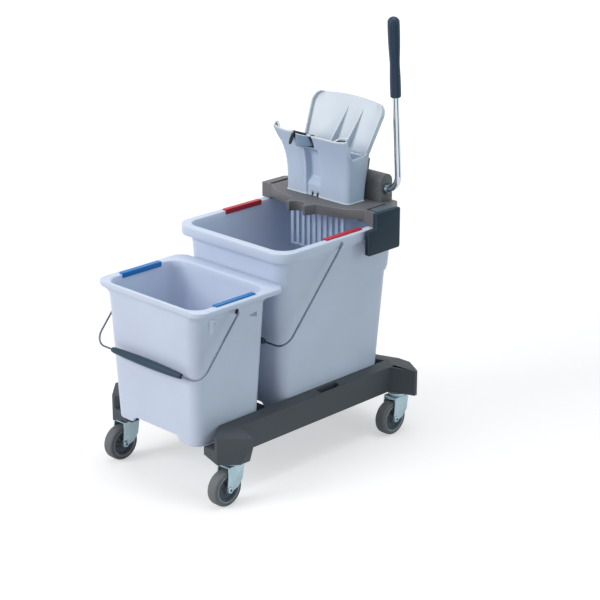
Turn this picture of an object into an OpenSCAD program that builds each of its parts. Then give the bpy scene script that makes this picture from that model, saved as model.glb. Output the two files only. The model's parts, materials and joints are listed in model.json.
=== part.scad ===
// Double mop bucket trolley. A moulded chassis on four swivel castors carries a small and a large
// bucket, and a lever press stands on the large bucket's rim.
// Millimetres, +Z up. The small bucket is at -Y and the press lever is on the +X side.
// The origin is on the floor, under the middle of the trolley.

/* [Castors] */
// Diameter of a wheel over its tyre
wheel_d = 75; // [65:1:80]
// Width of the tyre
tyre_w = 25; // [20:1:30]
// Depth of the rubber tyre on the hub
tyre_t = 10; // [7:0.5:13]
// Diameter of the axle bolt
axle_d = 8; // [6:0.5:10]
// Distance of the axle from the swivel axis
castor_trail = 21; // [16:1:26]
// Free height between the wheel and the fork's crown
wheel_gap = 8; // [6:0.5:12]
// Sheet thickness of the fork
fork_t = 2.5; // [2:0.1:4]
// Free space between the tyre's side and the fork
fork_gap = 2; // [1.5:0.1:4]
// Length of the fork's crown
crown_l = 46; // [40:1:52]
// Diameter of the swivel's king pin
king_d = 10; // [8:0.5:12]
// Height of the swivel bearing
bearing_h = 4; // [3:0.5:6]
// Diameter of the collar that seats against the chassis
collar_d = 40; // [36:1:44]
// Diameter of the castor's stem in the chassis
stem_d = 10; // [8:0.5:12]
// Length of the castor's stem
stem_l = 35; // [25:1:42]

/* [Chassis] */
// Distance between the left and right swivel axes
castor_track = 320; // [312:1:330]
// Distance between the front and rear swivel axes
castor_base = 498; // [480:1:510]
// Height of the side beams at their outer face
beam_h = 57; // [52:1:64]
// Rise of the beam tops towards the buckets
beam_ridge = 7; // [0:0.5:10]
// Width of the side beams beside the tray
beam_w = 23; // [20:1:28]
// Height of the tray that the buckets stand on, above the chassis underside
tray_h = 29; // [24:1:34]
// Width of the ledge under each bucket edge
ledge_w = 20; // [14:1:30]
// Thickness of the ledges and the cross members
ledge_t = 14; // [10:1:18]
// Wall thickness of the chassis moulding
chassis_wall = 4.5; // [3.5:0.5:5.5]
// Reach of a castor boss outwards from its swivel axis
boss_out = 46; // [42:1:50]
// Reach of a castor boss beyond its swivel axis, along the trolley
boss_end = 40; // [36:1:44]
// Height of the rear wall's middle above the tray
rear_wall_h = 18; // [15:1:26]
// Thickness of the rear wall
rear_wall_t = 28; // [20:1:32]
// Length of the middle cross member
cross_l = 95; // [60:1:130]
// Length of the hand hole in each beam top
pocket_l = 60; // [40:1:80]
// Distance of the hand holes behind the large bucket's front rim
pocket_in = 125; // [100:1:150]

/* [Small bucket] */
// Width over the rim
small_w = 314; // [304:1:318]
// Length over the rim
small_l = 238; // [230:1:246]
// Height from the tray to the rim
small_h = 296; // [285:1:305]
// Draft of the side and rear walls, from rim to foot
small_draft = 16; // [12:0.5:20]
// Draft of the front wall, from rim to foot
small_front_draft = 11.5; // [8:0.5:15]
// Overhang of the rim flange at the sides
small_flange = 18; // [15:0.5:20]
// Overhang of the rim flange at the rear
small_rear_over = 30; // [24:0.5:34]
// Overhang of the rim flange at the front
small_front_over = 5.5; // [5:0.5:9]
// Height of the lip at the flange's edge
small_lip = 12; // [8:0.5:14]
// Corner radius of the rim
small_rim_r = 25; // [20:1:32]
// Corner radius of the walls under the rim
small_wall_r = 30; // [24:1:34]

/* [Large bucket] */
// Width over the rim
large_w = 326; // [318:1:332]
// Length over the rim
large_l = 378; // [370:1:386]
// Height from the tray to the rim
large_h = 364; // [355:1:375]
// Draft of the side and rear walls, from rim to foot
large_draft = 24; // [20:0.5:27]
// Draft of the front wall, from rim to foot
large_front_draft = 18; // [14:0.5:24]
// Overhang of the rim flange at the front and the sides
large_flange = 15; // [13:0.5:18]
// Overhang of the rim flange at the rear
large_rear_over = 25; // [20:0.5:28]
// Depth of the pouring collar on the rear wall
pour_d = 10; // [6:0.5:12]
// Height of the pouring collar under the rim
pour_h = 114; // [90:1:130]
// Height of the lip at the flange's edge
large_lip = 22; // [18:0.5:26]
// Corner radius of the rim
large_rim_r = 40; // [32:1:48]
// Corner radius of the walls under the rim
large_wall_r = 36; // [30:1:40]

/* [Bucket walls] */
// Wall thickness
bucket_wall = 3; // [2.5:0.1:3.5]
// Corner radius inside the rim
inner_r = 33; // [28:1:36]
// Height of the foot rim under a bucket's floor
foot_h = 16; // [14:1:20]
// Length of the rim clips
clip_l = 106; // [80:1:130]
// Width of the rim clips
clip_w = 12; // [8:0.5:14]
// Height of the rim clips above the rim
clip_h = 3; // [2:0.1:4]
// Distance of the small bucket's clips from its front rim
small_clip_in = 55; // [45:1:65]
// Distance of the large bucket's clips from its front rim
large_clip_in = 133; // [110:1:150]
// Depth of the arched foot's front wall that is cut away
arch_depth = 60; // [50:1:80]
// Width of the feet beside the arch
arch_side = 48; // [40:1:60]
// Free gap between the small rim and the large bucket's front wall
rim_clear = 2.4; // [1:0.1:5]

/* [Bails] */
// Diameter of the bail wire
wire_d = 4; // [3:0.1:5]
// Diameter of a bail grip at its middle
bail_grip_d = 17.5; // [14:0.5:19]
// Length of a bail grip
bail_grip_l = 208; // [160:1:220]
// Bend radius of the bail's lower corners
bail_bend = 30; // [20:1:36]
// Depth of the small bail's pivots under the rim
small_bail_drop = 18; // [16:0.5:22]
// Depth of the large bail's pivots under the rim
large_bail_drop = 10; // [8:0.5:14]
// Reach of the small bail, from its pivot to its grip
small_bail_l = 160; // [155:1:168]
// Reach of the large bail, from its pivot to its grip
large_bail_l = 250; // [244:1:256]
// Distance of the small bail's pivots behind the front rim
small_pivot = 101; // [96:1:106]
// Distance of the large bail's pivots behind the front rim
large_pivot = 169; // [164:1:174]

/* [Press bridge] */
// Height of the bridge deck above the large rim
bridge_h = 33; // [28:1:40]
// Thickness of the deck
deck_t = 22; // [18:0.5:25]
// Width of the bridge, beyond the large rim on each side
bridge_over = 5; // [3:0.5:7]
// Depth of the bridge at its ends
bridge_l = 66; // [62:1:72]
// Reach of the handle rest in front of the bridge's ends
nose_l = 66; // [50:1:76]
// Radius of the handle notch
notch_r = 20; // [16:1:24]
// Thickness of the side hook
hook_t = 10; // [7:0.5:12]
// Height of the side hook
hook_h = 88; // [76:1:94]
// Length of the side hook
hook_l = 98; // [85:1:110]
// Reach of the side hook in front of the bridge's end
hook_front = 32; // [20:1:40]
// Distance of the bridge's hopper from the large bucket's rear rim
hopper_in = 52; // [48:1:58]

/* [Hopper] */
// Width of the hopper at its foot
hopper_w = 184; // [170:1:190]
// Depth of the hopper at its foot
hopper_l = 63; // [58:1:68]
// Height of the hopper's side walls
hopper_side_h = 98; // [90:1:110]
// Height of the flared front
hopper_front_h = 151; // [140:1:160]
// Wall thickness of the hopper
hopper_wall = 3.5; // [3:0.1:4.5]
// Dip of the front edge between its two tips
edge_dip = 12; // [6:1:16]
// Radius of the forward flare
flare_r = 200; // [170:5:240]
// Turn of the forward flare from the foot to the edge, in degrees
flare_turn = 31; // [26:0.5:34]
// Reach of each front wing beyond the hopper's side
wing = 14; // [8:1:20]
// Height of the back plate above the side walls, along its slope
back_l = 116; // [100:1:130]
// Backward lean of the back plate, in degrees
back_lean = 24.5; // [18:0.5:28]
// Widening of the back plate on each side, towards its top
back_wide = 10; // [4:1:14]
// Depth of the back plate's edge flanges
back_flange = 11; // [8:0.5:14]
// Depth of the channel down the hopper's front
channel_d = 14; // [10:0.5:16]
// Width of the channel down the hopper's front
channel_w = 40; // [30:1:48]
// Width of the notch for the latch, in the hopper's front edge
notch_w = 68; // [60:1:76]
// Number of strainer bars
comb_n = 10; // [8:1:12]
// Length of the strainer bars
comb_h = 98; // [80:1:110]

/* [Lever] */
// Diameter of the lever rod
rod_d = 14; // [12:0.5:15]
// Diameter of the lever shaft
shaft_d = 20; // [18:0.5:21]
// Height of the shaft axis above the deck
shaft_up = 27; // [25:0.5:30]
// Distance of the shaft axis behind the hopper
shaft_back = 20; // [19:0.5:24]
// Distance of the lever rod from the trolley's middle plane
lever_x = 159; // [152:1:164]
// Bend radius of the lever rod
lever_bend = 25; // [18:1:28]
// Height of the grip's top above the shaft axis
lever_h = 375; // [340:1:400]
// Length of the lever grip
grip_l = 169; // [150:1:185]
// Diameter of the lever grip at its top
grip_d = 25.5; // [22:0.5:28]
// Depth of the grip's solid top above the rod's end
grip_top = 16; // [12:1:20]
// Forward lean of the lever at rest, in degrees
lever_lean = 4; // [0:0.5:6]
// Turn of the lever from rest to its stop, in degrees
lever_turn = 85; // [70:1:90]
// Stroke of the press plate
press_stroke = 28; // [20:1:30]
// Thickness of the press plate
press_t = 8; // [6:0.5:10]
// Width of a cam
cam_w = 10; // [7:0.5:12]

/* [Hidden] */
$fn = 64;

// Radial play of a turning fit, free gap between moving faces, and overcut of a through cut
play = 0.05;
gap = 0.3;
over = 1;

// Castor heights, from the floor up
wheel_r = wheel_d / 2;
hub_r = wheel_r - tyre_t;
axle_r = axle_d / 2;
king_r = king_d / 2;
fork_in = tyre_w / 2 + fork_gap;
fork_out = fork_in + fork_t;
crown_z = wheel_d + wheel_gap;
bearing_z = crown_z + fork_t + gap;
collar_z = bearing_z + bearing_h;
collar_t = 3;
base_z = collar_z + collar_t;

// Trolley heights
tray_z = base_z + tray_h;
beam_z = base_z + beam_h;
ridge_z = beam_z + beam_ridge;
bucket_z = tray_z + gap;
small_z = bucket_z + small_h;
large_z = bucket_z + large_h;

// Half width of a bucket's wall at a height up above its foot
function bucket_half(w, over_rim, draft, h, up) = w / 2 - over_rim - draft * (1 - up / h);

// Lengthwise layout: the small bail's grip is the foremost point and the chassis the rearmost one
bail_out = 12;
rear_out = 14;
large_over = large_flange + large_front_draft * (1 - small_h / large_h);
trolley_l = bail_out + small_l + rim_clear - large_over + large_l + rear_out;
small_y0 = -trolley_l / 2 + bail_out;
small_y1 = small_y0 + small_l;
large_y0 = small_y1 + rim_clear - large_over;
large_y1 = large_y0 + large_l;
chassis_y1 = large_y1 + rear_out;
castor_y1 = chassis_y1 - boss_end;
castor_y0 = castor_y1 - castor_base;
chassis_y0 = castor_y0 - boss_end;
castor_x = castor_track / 2;

// Chassis plan
tray_gap = 0.7;
tray_x = tray_gap + max(
    bucket_half(small_w, small_flange, small_draft, small_h, ridge_z - bucket_z),
    bucket_half(large_w, large_flange, large_draft, large_h, ridge_z - bucket_z));
beam_x = tray_x + beam_w;
ledge_x = tray_x - ledge_w;
tray_y1 = chassis_y1 - rear_wall_t;
ledge_y0 = castor_y0 + 6;
cross_y0 = (small_y1 + large_y0) / 2 - cross_l / 2 - 10;
lip_x = tray_x - 5;
lip_rise = 12;
boss_flat = 8;
boss_front = [8, 34];
boss_rear = [-13, 14];
boss_in = 14;
boss_lean_h = 34;
pocket_y = large_y0 + pocket_in;

// Bails: the small one leans on its bucket, the large one hangs in the gap between the buckets
wire_r = wire_d / 2;
bail_pin = bucket_wall + 0.6;
bail_side = 1.3;
pin_bend = bail_side + wire_r - gap;
bail_clear = 15;
small_pivot_y = small_y0 + small_pivot;
small_pivot_z = small_z - small_bail_drop;
large_pivot_y = large_y0 + large_pivot;
large_pivot_z = large_z - large_bail_drop;
small_arm_x = small_w / 2 + wire_r + bail_side;
large_arm_x = large_w / 2 + wire_r + bail_side;
small_lean = asin((small_y0 - bail_out + bail_grip_d / 2 - small_pivot_y) / small_bail_l);
grip_drop = small_z - large_pivot_z + 0.75 * large_bail_l;
small_rear = small_y1 - small_rear_over - small_draft * grip_drop / small_h;
large_lean = asin((small_rear + bail_grip_d / 2 + bail_clear - large_pivot_y) / large_bail_l);

// Press layout
deck_z = large_z + gap + bridge_h;
bridge_x = large_w / 2 + bridge_over;
hopper_y1 = large_y1 - hopper_in;
hopper_y0 = hopper_y1 - hopper_l;
bridge_y0 = hopper_y0 + 2;
bridge_y1 = bridge_y0 + bridge_l;
bridge_rear = large_y1 - 15;
hopper_x = hopper_w / 2;
shaft_y = hopper_y1 + shaft_back;
shaft_z = deck_z + shaft_up;
shaft_r = shaft_d / 2;
rod_r = rod_d / 2;
cover_r = shaft_r + 8;
cover_wall = 3;
cover_lift = 14;
cover_left = 26;
cover_right = 33;
cover_x0 = -hopper_x - cover_left;
cover_x1 = hopper_x + cover_right;
bush_r = shaft_r + 3;
bush_l = 8;
socket_l = 24;
shaft_x1 = lever_x - lever_bend - 1;
cam_x = hopper_x * 0.6;

// Bridge ends, and the channel and latch notch in the hopper's front, left of its middle as in the photo
slot_in = 29;
slot_free = 6;
tongue_w = 4;
slot_d = 6;
slot_y = bridge_y0 + 4;
slot_l = bridge_l - 10;
haunch_w = 52;
haunch_h = 9;
channel_x0 = -10 - channel_w / 2;
channel_x1 = channel_x0 + channel_w;
latch_x = -31;
notch_h = 30;
latch_z = deck_z + hopper_front_h - edge_dip - notch_h;

// Lean of the side walls' rear edges, and narrowing of the hopper's back wall at its foot
side_lean = 11;
back_in = 14;

// Cam: an involute of a circle whose radius is the stroke per radian
cam_k = press_stroke / (lever_turn * PI / 180);
press_y1 = hopper_y1 - hopper_wall - 1;
press_y0 = press_y1 - press_t;
cam_d0 = shaft_y - press_y1 - gap;
cam_a0 = cam_d0 / cam_k;
cam_a1 = cam_a0 + lever_turn * PI / 180;
cam_tip = cam_k * sqrt(1 + cam_a1 * cam_a1);

// Colours
c_chassis = [0.28, 0.29, 0.31];
c_bucket = [0.72, 0.77, 0.84];
c_blue = [0.05, 0.35, 0.68];
c_red = [0.72, 0.12, 0.18];
c_bridge = [0.37, 0.37, 0.38];
c_slate = [0.2, 0.25, 0.3];
c_steel = [0.72, 0.76, 0.78];
c_tyre = [0.36, 0.37, 0.38];
c_hub = [0.28, 0.3, 0.32];

// Name and swivel axis of each castor
CASTORS = [
    ["front_left", -castor_x, castor_y0],
    ["front_right", castor_x, castor_y0],
    ["rear_left", -castor_x, castor_y1],
    ["rear_right", castor_x, castor_y1]
];

// Rectangle with round corners, from x0 to x1 and y0 to y1
module round_rect(x0, x1, y0, y1, r) {
    translate([x0 + r, y0]) square([x1 - x0 - 2 * r, y1 - y0]);
    translate([x0, y0 + r]) square([x1 - x0, y1 - y0 - 2 * r]);
    for (x = [x0 + r, x1 - r], y = [y0 + r, y1 - r]) translate([x, y]) circle(r);
}

// Cylinder along +X from x0 to x1
module bar_x(r, x0, x1) {
    translate([x0, 0, 0]) rotate([0, 90, 0]) cylinder(r = r, h = x1 - x0);
}

// Profile in the (y, z) plane, extruded along +X from x0 to x1
module side_profile(x0, x1) {
    translate([x0, 0, 0]) rotate([90, 0, 90]) linear_extrude(x1 - x0) children();
}

// Both sides of a piece that is drawn on the +X side
module both_sides() {
    children();
    mirror([1, 0, 0]) children();
}

// Chassis

// Castor boss outline about its swivel axis: +X outwards, -Y towards the trolley's end. It is widest
// at run[0] and runs out on the beam at run[1].
module boss_plan(run) {
    polygon([
        [tray_x - castor_x, -boss_end], [0, -boss_end], [boss_out, run[0]],
        [boss_out, run[0] + boss_flat], [beam_x - castor_x, run[1]], [tray_x - castor_x, run[1]]
    ]);
}

// Cross-section of a beam in the (x, z) plane, with its top sloping outwards
module beam_section() {
    polygon([[tray_x, base_z], [beam_x, base_z], [beam_x, beam_z], [tray_x, ridge_z]]);
}

module chassis_half() {
    hollow_y0 = castor_y0 + boss_front[1];
    hollow_y1 = castor_y1 - boss_front[1];
    difference() {
        union() {
            translate([0, castor_y1, 0]) rotate([90, 0, 0])
                linear_extrude(castor_y1 - chassis_y0) beam_section();
            translate([castor_x, castor_y0, base_z]) linear_extrude(beam_h) boss_plan(boss_front);
            translate([castor_x, castor_y1, base_z]) mirror([0, 1, 0])
                linear_extrude(beam_h) boss_plan(boss_rear);
            translate([ledge_x, ledge_y0, tray_z - ledge_t])
                cube([ledge_w + over, tray_y1 - ledge_y0, ledge_t]);
            // Low lip beside the bucket's front corner
            translate([lip_x, chassis_y0, base_z]) cube([tray_x - lip_x + over, boss_end, tray_h]);
        }
        // Hollow underside of the beam, between the bosses
        translate([tray_x + chassis_wall, hollow_y0, base_z - over])
            cube([beam_w - 2 * chassis_wall, hollow_y1 - hollow_y0, beam_h - chassis_wall + over]);
        // Slanted underside of the low lip and the boss's end
        translate([0, chassis_y0 + boss_end / 2 - over, base_z]) rotate([90, 0, 0])
            linear_extrude(boss_end / 2) polygon([
                [lip_x - over, -over], [castor_x, -over], [castor_x, 0], [lip_x - over, lip_rise]
            ]);
        // Outer face of the front boss, leaning in towards its foot
        translate([castor_x + boss_out, castor_y0 + boss_front[1] + over, base_z]) rotate([90, 0, 0])
            linear_extrude(boss_end + boss_front[1] + 2 * over) polygon([
                [-boss_in, -over], [over, -over], [over, boss_lean_h], [0, boss_lean_h], [-boss_in, 0]
            ]);
        // Wide mouth of the tray at the front
        translate([0, 0, tray_z]) linear_extrude(beam_h) polygon([
            [tray_x - over, chassis_y0 - over], [beam_x + 4, chassis_y0 - over],
            [tray_x - over, castor_y0 + over]
        ]);
        // Hand hole in the beam's top
        translate([0, 0, beam_z - chassis_wall - over]) linear_extrude(beam_h)
            round_rect(tray_x + chassis_wall, beam_x - chassis_wall, pocket_y, pocket_y + pocket_l, 5);
        for (y = [castor_y0, castor_y1]) translate([castor_x, y, base_z - over])
            cylinder(d = stem_d, h = stem_l + 2 * over);
    }
}

module chassis_frame() {
    color(c_chassis) union() {
        both_sides() chassis_half();
        for (y = [cross_y0, tray_y1 - cross_l / 2]) translate([-ledge_x - over, y, tray_z - ledge_t])
            cube([2 * ledge_x + 2 * over, y < 0 ? cross_l : cross_l / 2 + over, ledge_t]);
        // Rear wall, lower in its middle
        translate([0, chassis_y1, tray_z]) rotate([90, 0, 0])
            linear_extrude(rear_wall_t) polygon([
                [-tray_x - over, -ledge_t], [tray_x + over, -ledge_t], [tray_x + over, beam_z - tray_z],
                [0.45 * tray_x, rear_wall_h], [-0.45 * tray_x, rear_wall_h],
                [-tray_x - over, beam_z - tray_z]
            ]);
    }
}

// Castors, drawn about the swivel axis

// Stem, collar and king pin, fixed in the chassis
module castor_stem() {
    head_t = 3;
    color(c_steel) {
        translate([0, 0, base_z]) cylinder(d = stem_d, h = stem_l);
        translate([0, 0, collar_z]) cylinder(d = collar_d, h = collar_t);
        translate([0, 0, crown_z - gap]) cylinder(r = king_r, h = collar_z - crown_z + gap);
        translate([0, 0, crown_z - gap - head_t]) cylinder(r = king_r + 3.5, h = head_t);
    }
}

module castor_bearing() {
    color(c_steel) translate([0, 0, bearing_z]) difference() {
        cylinder(d = collar_d - 4, h = bearing_h);
        translate([0, 0, -over]) cylinder(r = king_r + 1, h = bearing_h + 2 * over);
    }
}

// One side plate of the fork, in the (y, z) plane
module fork_cheek() {
    eye_r = axle_r + 3;
    difference() {
        union() {
            polygon([
                [-castor_trail - eye_r, wheel_r], [-castor_trail + eye_r / 2, wheel_r - 0.85 * eye_r],
                [crown_l / 2 - 21, wheel_r + 1], [crown_l / 2 - 9, wheel_r + 15],
                [crown_l / 2 - 4, crown_z + fork_t], [-crown_l / 2, crown_z + fork_t]
            ]);
            translate([-castor_trail, wheel_r]) circle(eye_r);
        }
        translate([-castor_trail, wheel_r]) circle(axle_r);
    }
}

module castor_fork() {
    color(c_steel) difference() {
        union() {
            side_profile(fork_in, fork_out) fork_cheek();
            side_profile(-fork_out, -fork_in) fork_cheek();
            translate([0, 0, crown_z]) linear_extrude(fork_t)
                round_rect(-fork_out, fork_out, -crown_l / 2, crown_l / 2, 4);
        }
        translate([0, 0, crown_z - over]) cylinder(r = king_r + play, h = fork_t + 2 * over);
    }
}

module castor_axle() {
    color(c_steel) translate([0, -castor_trail, wheel_r]) {
        bar_x(axle_r, -fork_out - 5, fork_out);
        bar_x(axle_r + 2.5, fork_out, fork_out + 3.5);
        bar_x(axle_r + 2.8, -fork_out - 4, -fork_out, $fn = 6);
    }
}

module castor_hub() {
    boss_w = fork_in - 1;
    rim_w = tyre_w / 2 - 1;
    color(c_hub) translate([0, -castor_trail, wheel_r]) rotate([0, 90, 0]) rotate_extrude() polygon([
        [axle_r + play, -boss_w], [axle_r + 5, -boss_w], [axle_r + 7, -rim_w / 2], [hub_r - 6, -rim_w / 2],
        [hub_r - 4, -rim_w], [hub_r, -rim_w], [hub_r, rim_w], [hub_r - 4, rim_w], [hub_r - 6, rim_w / 2],
        [axle_r + 7, rim_w / 2], [axle_r + 5, boss_w], [axle_r + play, boss_w]
    ]);
}

module castor_tyre() {
    edge = 5;
    color(c_tyre) translate([0, -castor_trail, wheel_r]) rotate([0, 90, 0]) rotate_extrude() {
        translate([hub_r, -tyre_w / 2]) square([tyre_t - edge, tyre_w]);
        translate([hub_r, -tyre_w / 2 + edge]) square([tyre_t, tyre_w - 2 * edge]);
        for (x = [-1, 1]) translate([wheel_r - edge, x * (tyre_w / 2 - edge)]) circle(edge);
    }
}

// Buckets

// Solid between two rounded rectangles, each given as [half width, front, rear, corner radius, height]
module taper(low, high) {
    skin = 0.01;
    hull() {
        translate([0, 0, low[4]]) linear_extrude(skin)
            round_rect(-low[0], low[0], low[1], low[2], low[3], $fn = 32);
        translate([0, 0, high[4] - skin]) linear_extrude(skin)
            round_rect(-high[0], high[0], high[1], high[2], high[3], $fn = 32);
    }
}

// Rounded rectangle of a bucket's wall at a height up above its foot, inset by a wall depth
function wall_at(b, up, inset) = let (t = 1 - up / b[3]) [
    b[0] / 2 - b[6] - b[4] * t - inset,
    b[1] + b[7] + b[5] * t + inset,
    b[2] - b[8] - b[4] * t - inset,
    (inset > 0 ? inner_r : b[11]) - b[4] * t / 2,
    bucket_z + up
];

// Bucket b = [width, front, rear, height, draft, front draft, overhang, front overhang, rear overhang, lip,
// rim radius, wall radius], with a flanged rim, a hollow foot and a pair of holes for the bail. Its
// children are added to the outside of its wall.
module bucket(b, pivot_y, pivot_z) {
    x = b[0] / 2;
    top = bucket_z + b[3];
    arch_h = foot_h - bucket_wall - 1;
    arch_x = wall_at(b, 0, 0)[0] - arch_side;
    difference() {
        union() {
            taper(wall_at(b, 0, 0), wall_at(b, b[3], 0));
            children();
            translate([0, 0, top - bucket_wall]) linear_extrude(bucket_wall)
                round_rect(-x, x, b[1], b[2], b[10]);
            translate([0, 0, top - b[9]]) linear_extrude(b[9]) difference() {
                round_rect(-x, x, b[1], b[2], b[10]);
                round_rect(-x + bucket_wall, x - bucket_wall, b[1] + bucket_wall, b[2] - bucket_wall,
                    b[10] - bucket_wall);
            }
        }
        taper(wall_at(b, foot_h, bucket_wall), wall_at(b, b[3] + over, bucket_wall));
        // Hollow foot, with an arch in its front wall
        taper(wall_at(b, -over, 2 * bucket_wall), wall_at(b, foot_h - bucket_wall, 2 * bucket_wall));
        translate([0, b[1] + arch_depth, bucket_z]) rotate([90, 0, 0]) linear_extrude(arch_depth) polygon([
            [-arch_x, -over], [arch_x, -over], [arch_x, 0], [arch_x - arch_h, arch_h],
            [-arch_x + arch_h, arch_h], [-arch_x, 0]
        ]);
        translate([0, pivot_y, pivot_z]) bar_x(wire_r + play, -x - over, x + over);
    }
}

SMALL = [small_w, small_y0, small_y1, small_h, small_draft, small_front_draft, small_flange,
    small_front_over, small_rear_over, small_lip, small_rim_r, small_wall_r];
LARGE = [large_w, large_y0, large_y1, large_h, large_draft, large_front_draft, large_flange,
    large_flange, large_rear_over, large_lip, large_rim_r, large_wall_r];

module small_bucket() {
    color(c_bucket) bucket(SMALL, small_pivot_y, small_pivot_z);
}

// Section of the pouring collar at a height up, inset by a depth: its rear face is pour_d behind the wall
function collar_at(up, inset) = let (w = wall_at(LARGE, up, 0))
    [w[0] - 2 - inset, w[1] + large_l / 2, w[2] + pour_d - inset, w[3], w[4]];

// Skirt on the rear wall, open below, that the bucket is tipped by
module pour_collar() {
    low = large_h - pour_h;
    difference() {
        taper(collar_at(low, 0), collar_at(large_h, 0));
        taper(collar_at(low - over, bucket_wall), collar_at(large_h - bucket_wall, bucket_wall));
    }
}

module large_bucket() {
    color(c_bucket) bucket(LARGE, large_pivot_y, large_pivot_z) pour_collar();
}

// Coloured clip on the +X rim: a strip on the flange with a skirt that hangs inside the wall
module rim_clip(b, y) {
    skirt_h = 8;
    skirt_t = 1.3;
    top = bucket_z + b[3];
    skirt_x = wall_at(b, b[3] - skirt_h, bucket_wall)[0] - gap;
    translate([skirt_x - skirt_t, y, top]) cube([clip_w, clip_l, clip_h]);
    translate([skirt_x - skirt_t, y, top - skirt_h]) cube([skirt_t, clip_l, skirt_h + clip_h]);
}

module small_clip_right() {
    color(c_blue) rim_clip(SMALL, small_y0 + small_clip_in);
}

module small_clip_left() {
    mirror([1, 0, 0]) small_clip_right();
}

module large_clip_right() {
    color(c_red) rim_clip(LARGE, large_y0 + large_clip_in);
}

module large_clip_left() {
    mirror([1, 0, 0]) large_clip_right();
}

// Bails, drawn hanging straight down from a pivot axis at the origin

// Quarter bend of wire from +Z to +X, about the origin, with its ends on the X and Z axes
module wire_bend(r) {
    rotate([90, 0, 0]) rotate_extrude(angle = 90) translate([r, 0]) circle(wire_r);
}

module bail_wire(arm_x, wall_x, reach) {
    both_sides() {
        bar_x(wire_r, wall_x - bail_pin, arm_x - pin_bend);
        translate([arm_x - pin_bend, 0, -pin_bend]) wire_bend(pin_bend);
        translate([arm_x, 0, -reach + bail_bend]) cylinder(r = wire_r, h = reach - bail_bend - pin_bend);
        translate([arm_x - bail_bend, 0, -reach + bail_bend]) rotate([0, 90, 0]) wire_bend(bail_bend);
        bar_x_from_middle(arm_x - bail_bend, -reach);
    }
}

// Straight wire along +X from the middle plane, at height z
module bar_x_from_middle(x, z) {
    translate([0, 0, z]) bar_x(wire_r, 0, x);
}

// Lens-shaped grip on the bail's straight middle
module bail_grip(reach) {
    end_r = wire_r + 4;
    mid_r = bail_grip_d / 2;
    steps = 12;
    half = bail_grip_l / 2;
    translate([0, 0, -reach]) rotate([0, 90, 0]) rotate_extrude() polygon(concat(
        [[wire_r, -half]],
        [for (i = [-steps : steps]) [end_r + (mid_r - end_r) * (1 - pow(i / steps, 2)), half * i / steps]],
        [[wire_r, half]]
    ));
}

module at_bail(y, z, lean) {
    translate([0, y, z]) rotate([lean, 0, 0]) children();
}

module small_bail_wire() {
    color(c_steel) at_bail(small_pivot_y, small_pivot_z, small_lean)
        bail_wire(small_arm_x, small_w / 2 - small_flange, small_bail_l);
}

module small_bail_grip() {
    color(c_slate) at_bail(small_pivot_y, small_pivot_z, small_lean) bail_grip(small_bail_l);
}

module large_bail_wire() {
    color(c_steel) at_bail(large_pivot_y, large_pivot_z, large_lean)
        bail_wire(large_arm_x, large_w / 2 - large_flange, large_bail_l);
}

module large_bail_grip() {
    color(c_slate) at_bail(large_pivot_y, large_pivot_z, large_lean) bail_grip(large_bail_l);
}

// Press

// Half of the bridge's plan on the +X side
module bridge_plan() {
    difference() {
        polygon([
            [-over, bridge_y0 - nose_l], [notch_r + 6, bridge_y0 - nose_l],
            [notch_r + 16, bridge_y0 - 0.6 * nose_l],
            [0.6 * bridge_x, bridge_y0 - 0.36 * nose_l], [0.82 * bridge_x, bridge_y0], [bridge_x, bridge_y0],
            [bridge_x, bridge_y1], [0.84 * bridge_x, bridge_rear], [-over, bridge_rear]
        ]);
        translate([0, bridge_y0 - nose_l]) circle(notch_r);
    }
}

module press_bridge() {
    rim_x = large_w / 2 - large_flange - bucket_wall;
    color(c_bridge) difference() {
        both_sides() {
            translate([0, 0, deck_z - deck_t]) linear_extrude(deck_t) bridge_plan();
            translate([rim_x, bridge_y0, large_z + gap])
                cube([bridge_x - rim_x, bridge_l, bridge_h - deck_t + over]);
            // Slanted haunch between the end block and the deck
            translate([0, bridge_y1, deck_z - deck_t]) rotate([90, 0, 0]) linear_extrude(bridge_l) polygon([
                [rim_x - haunch_w, over], [rim_x - haunch_w, 0], [rim_x, -haunch_h],
                [rim_x + over, -haunch_h], [rim_x + over, over]
            ]);
        }
        // Drain under the hopper
        translate([-hopper_x + 12, hopper_y0 + 10, deck_z - deck_t - over])
            cube([hopper_w - 24, hopper_l - 20, deck_t + 2 * over]);
        // Slot along each end
        both_sides() translate([bridge_x - slot_in, slot_y, deck_z - slot_d])
            cube([slot_free + tongue_w, slot_l, slot_d + over]);
    }
}

// Hook plate on the +X end, held by a tongue in the bridge's slot
module side_hook() {
    top_t = 2;
    step_h = 34;
    step_l = 24;
    tongue_in = slot_in - slot_free;
    color(c_slate) union() {
        // Plate with its upper front corner stepped back behind the bridge's end
        translate([bridge_x, bridge_y0 - hook_front, deck_z + top_t]) rotate([0, 90, 0])
            linear_extrude(hook_t) difference() {
                round_rect(0, hook_h, 0, hook_l, 5);
                translate([-over, -over]) square([step_h + over, step_l + over]);
            }
        translate([bridge_x - tongue_in, slot_y, deck_z])
            cube([tongue_in + hook_t / 2, slot_l, top_t]);
        translate([bridge_x - tongue_in, slot_y, deck_z - slot_d + over])
            cube([tongue_w, slot_l, slot_d]);
    }
}

// Flared front wall of thickness t in the (y, z) plane: upright at the foot, then an arc that leans forward
module flare_profile(t) {
    bend_z = deck_z + hopper_front_h - flare_r * sin(flare_turn);
    translate([hopper_y0, deck_z]) square([t, bend_z - deck_z]);
    intersection() {
        translate([hopper_y0 - flare_r, bend_z]) difference() {
            circle(flare_r + t, $fn = 256);
            circle(flare_r, $fn = 256);
        }
        translate([hopper_y0 - flare_r, bend_z]) square([2 * flare_r, deck_z + hopper_front_h - bend_z]);
    }
}

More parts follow.
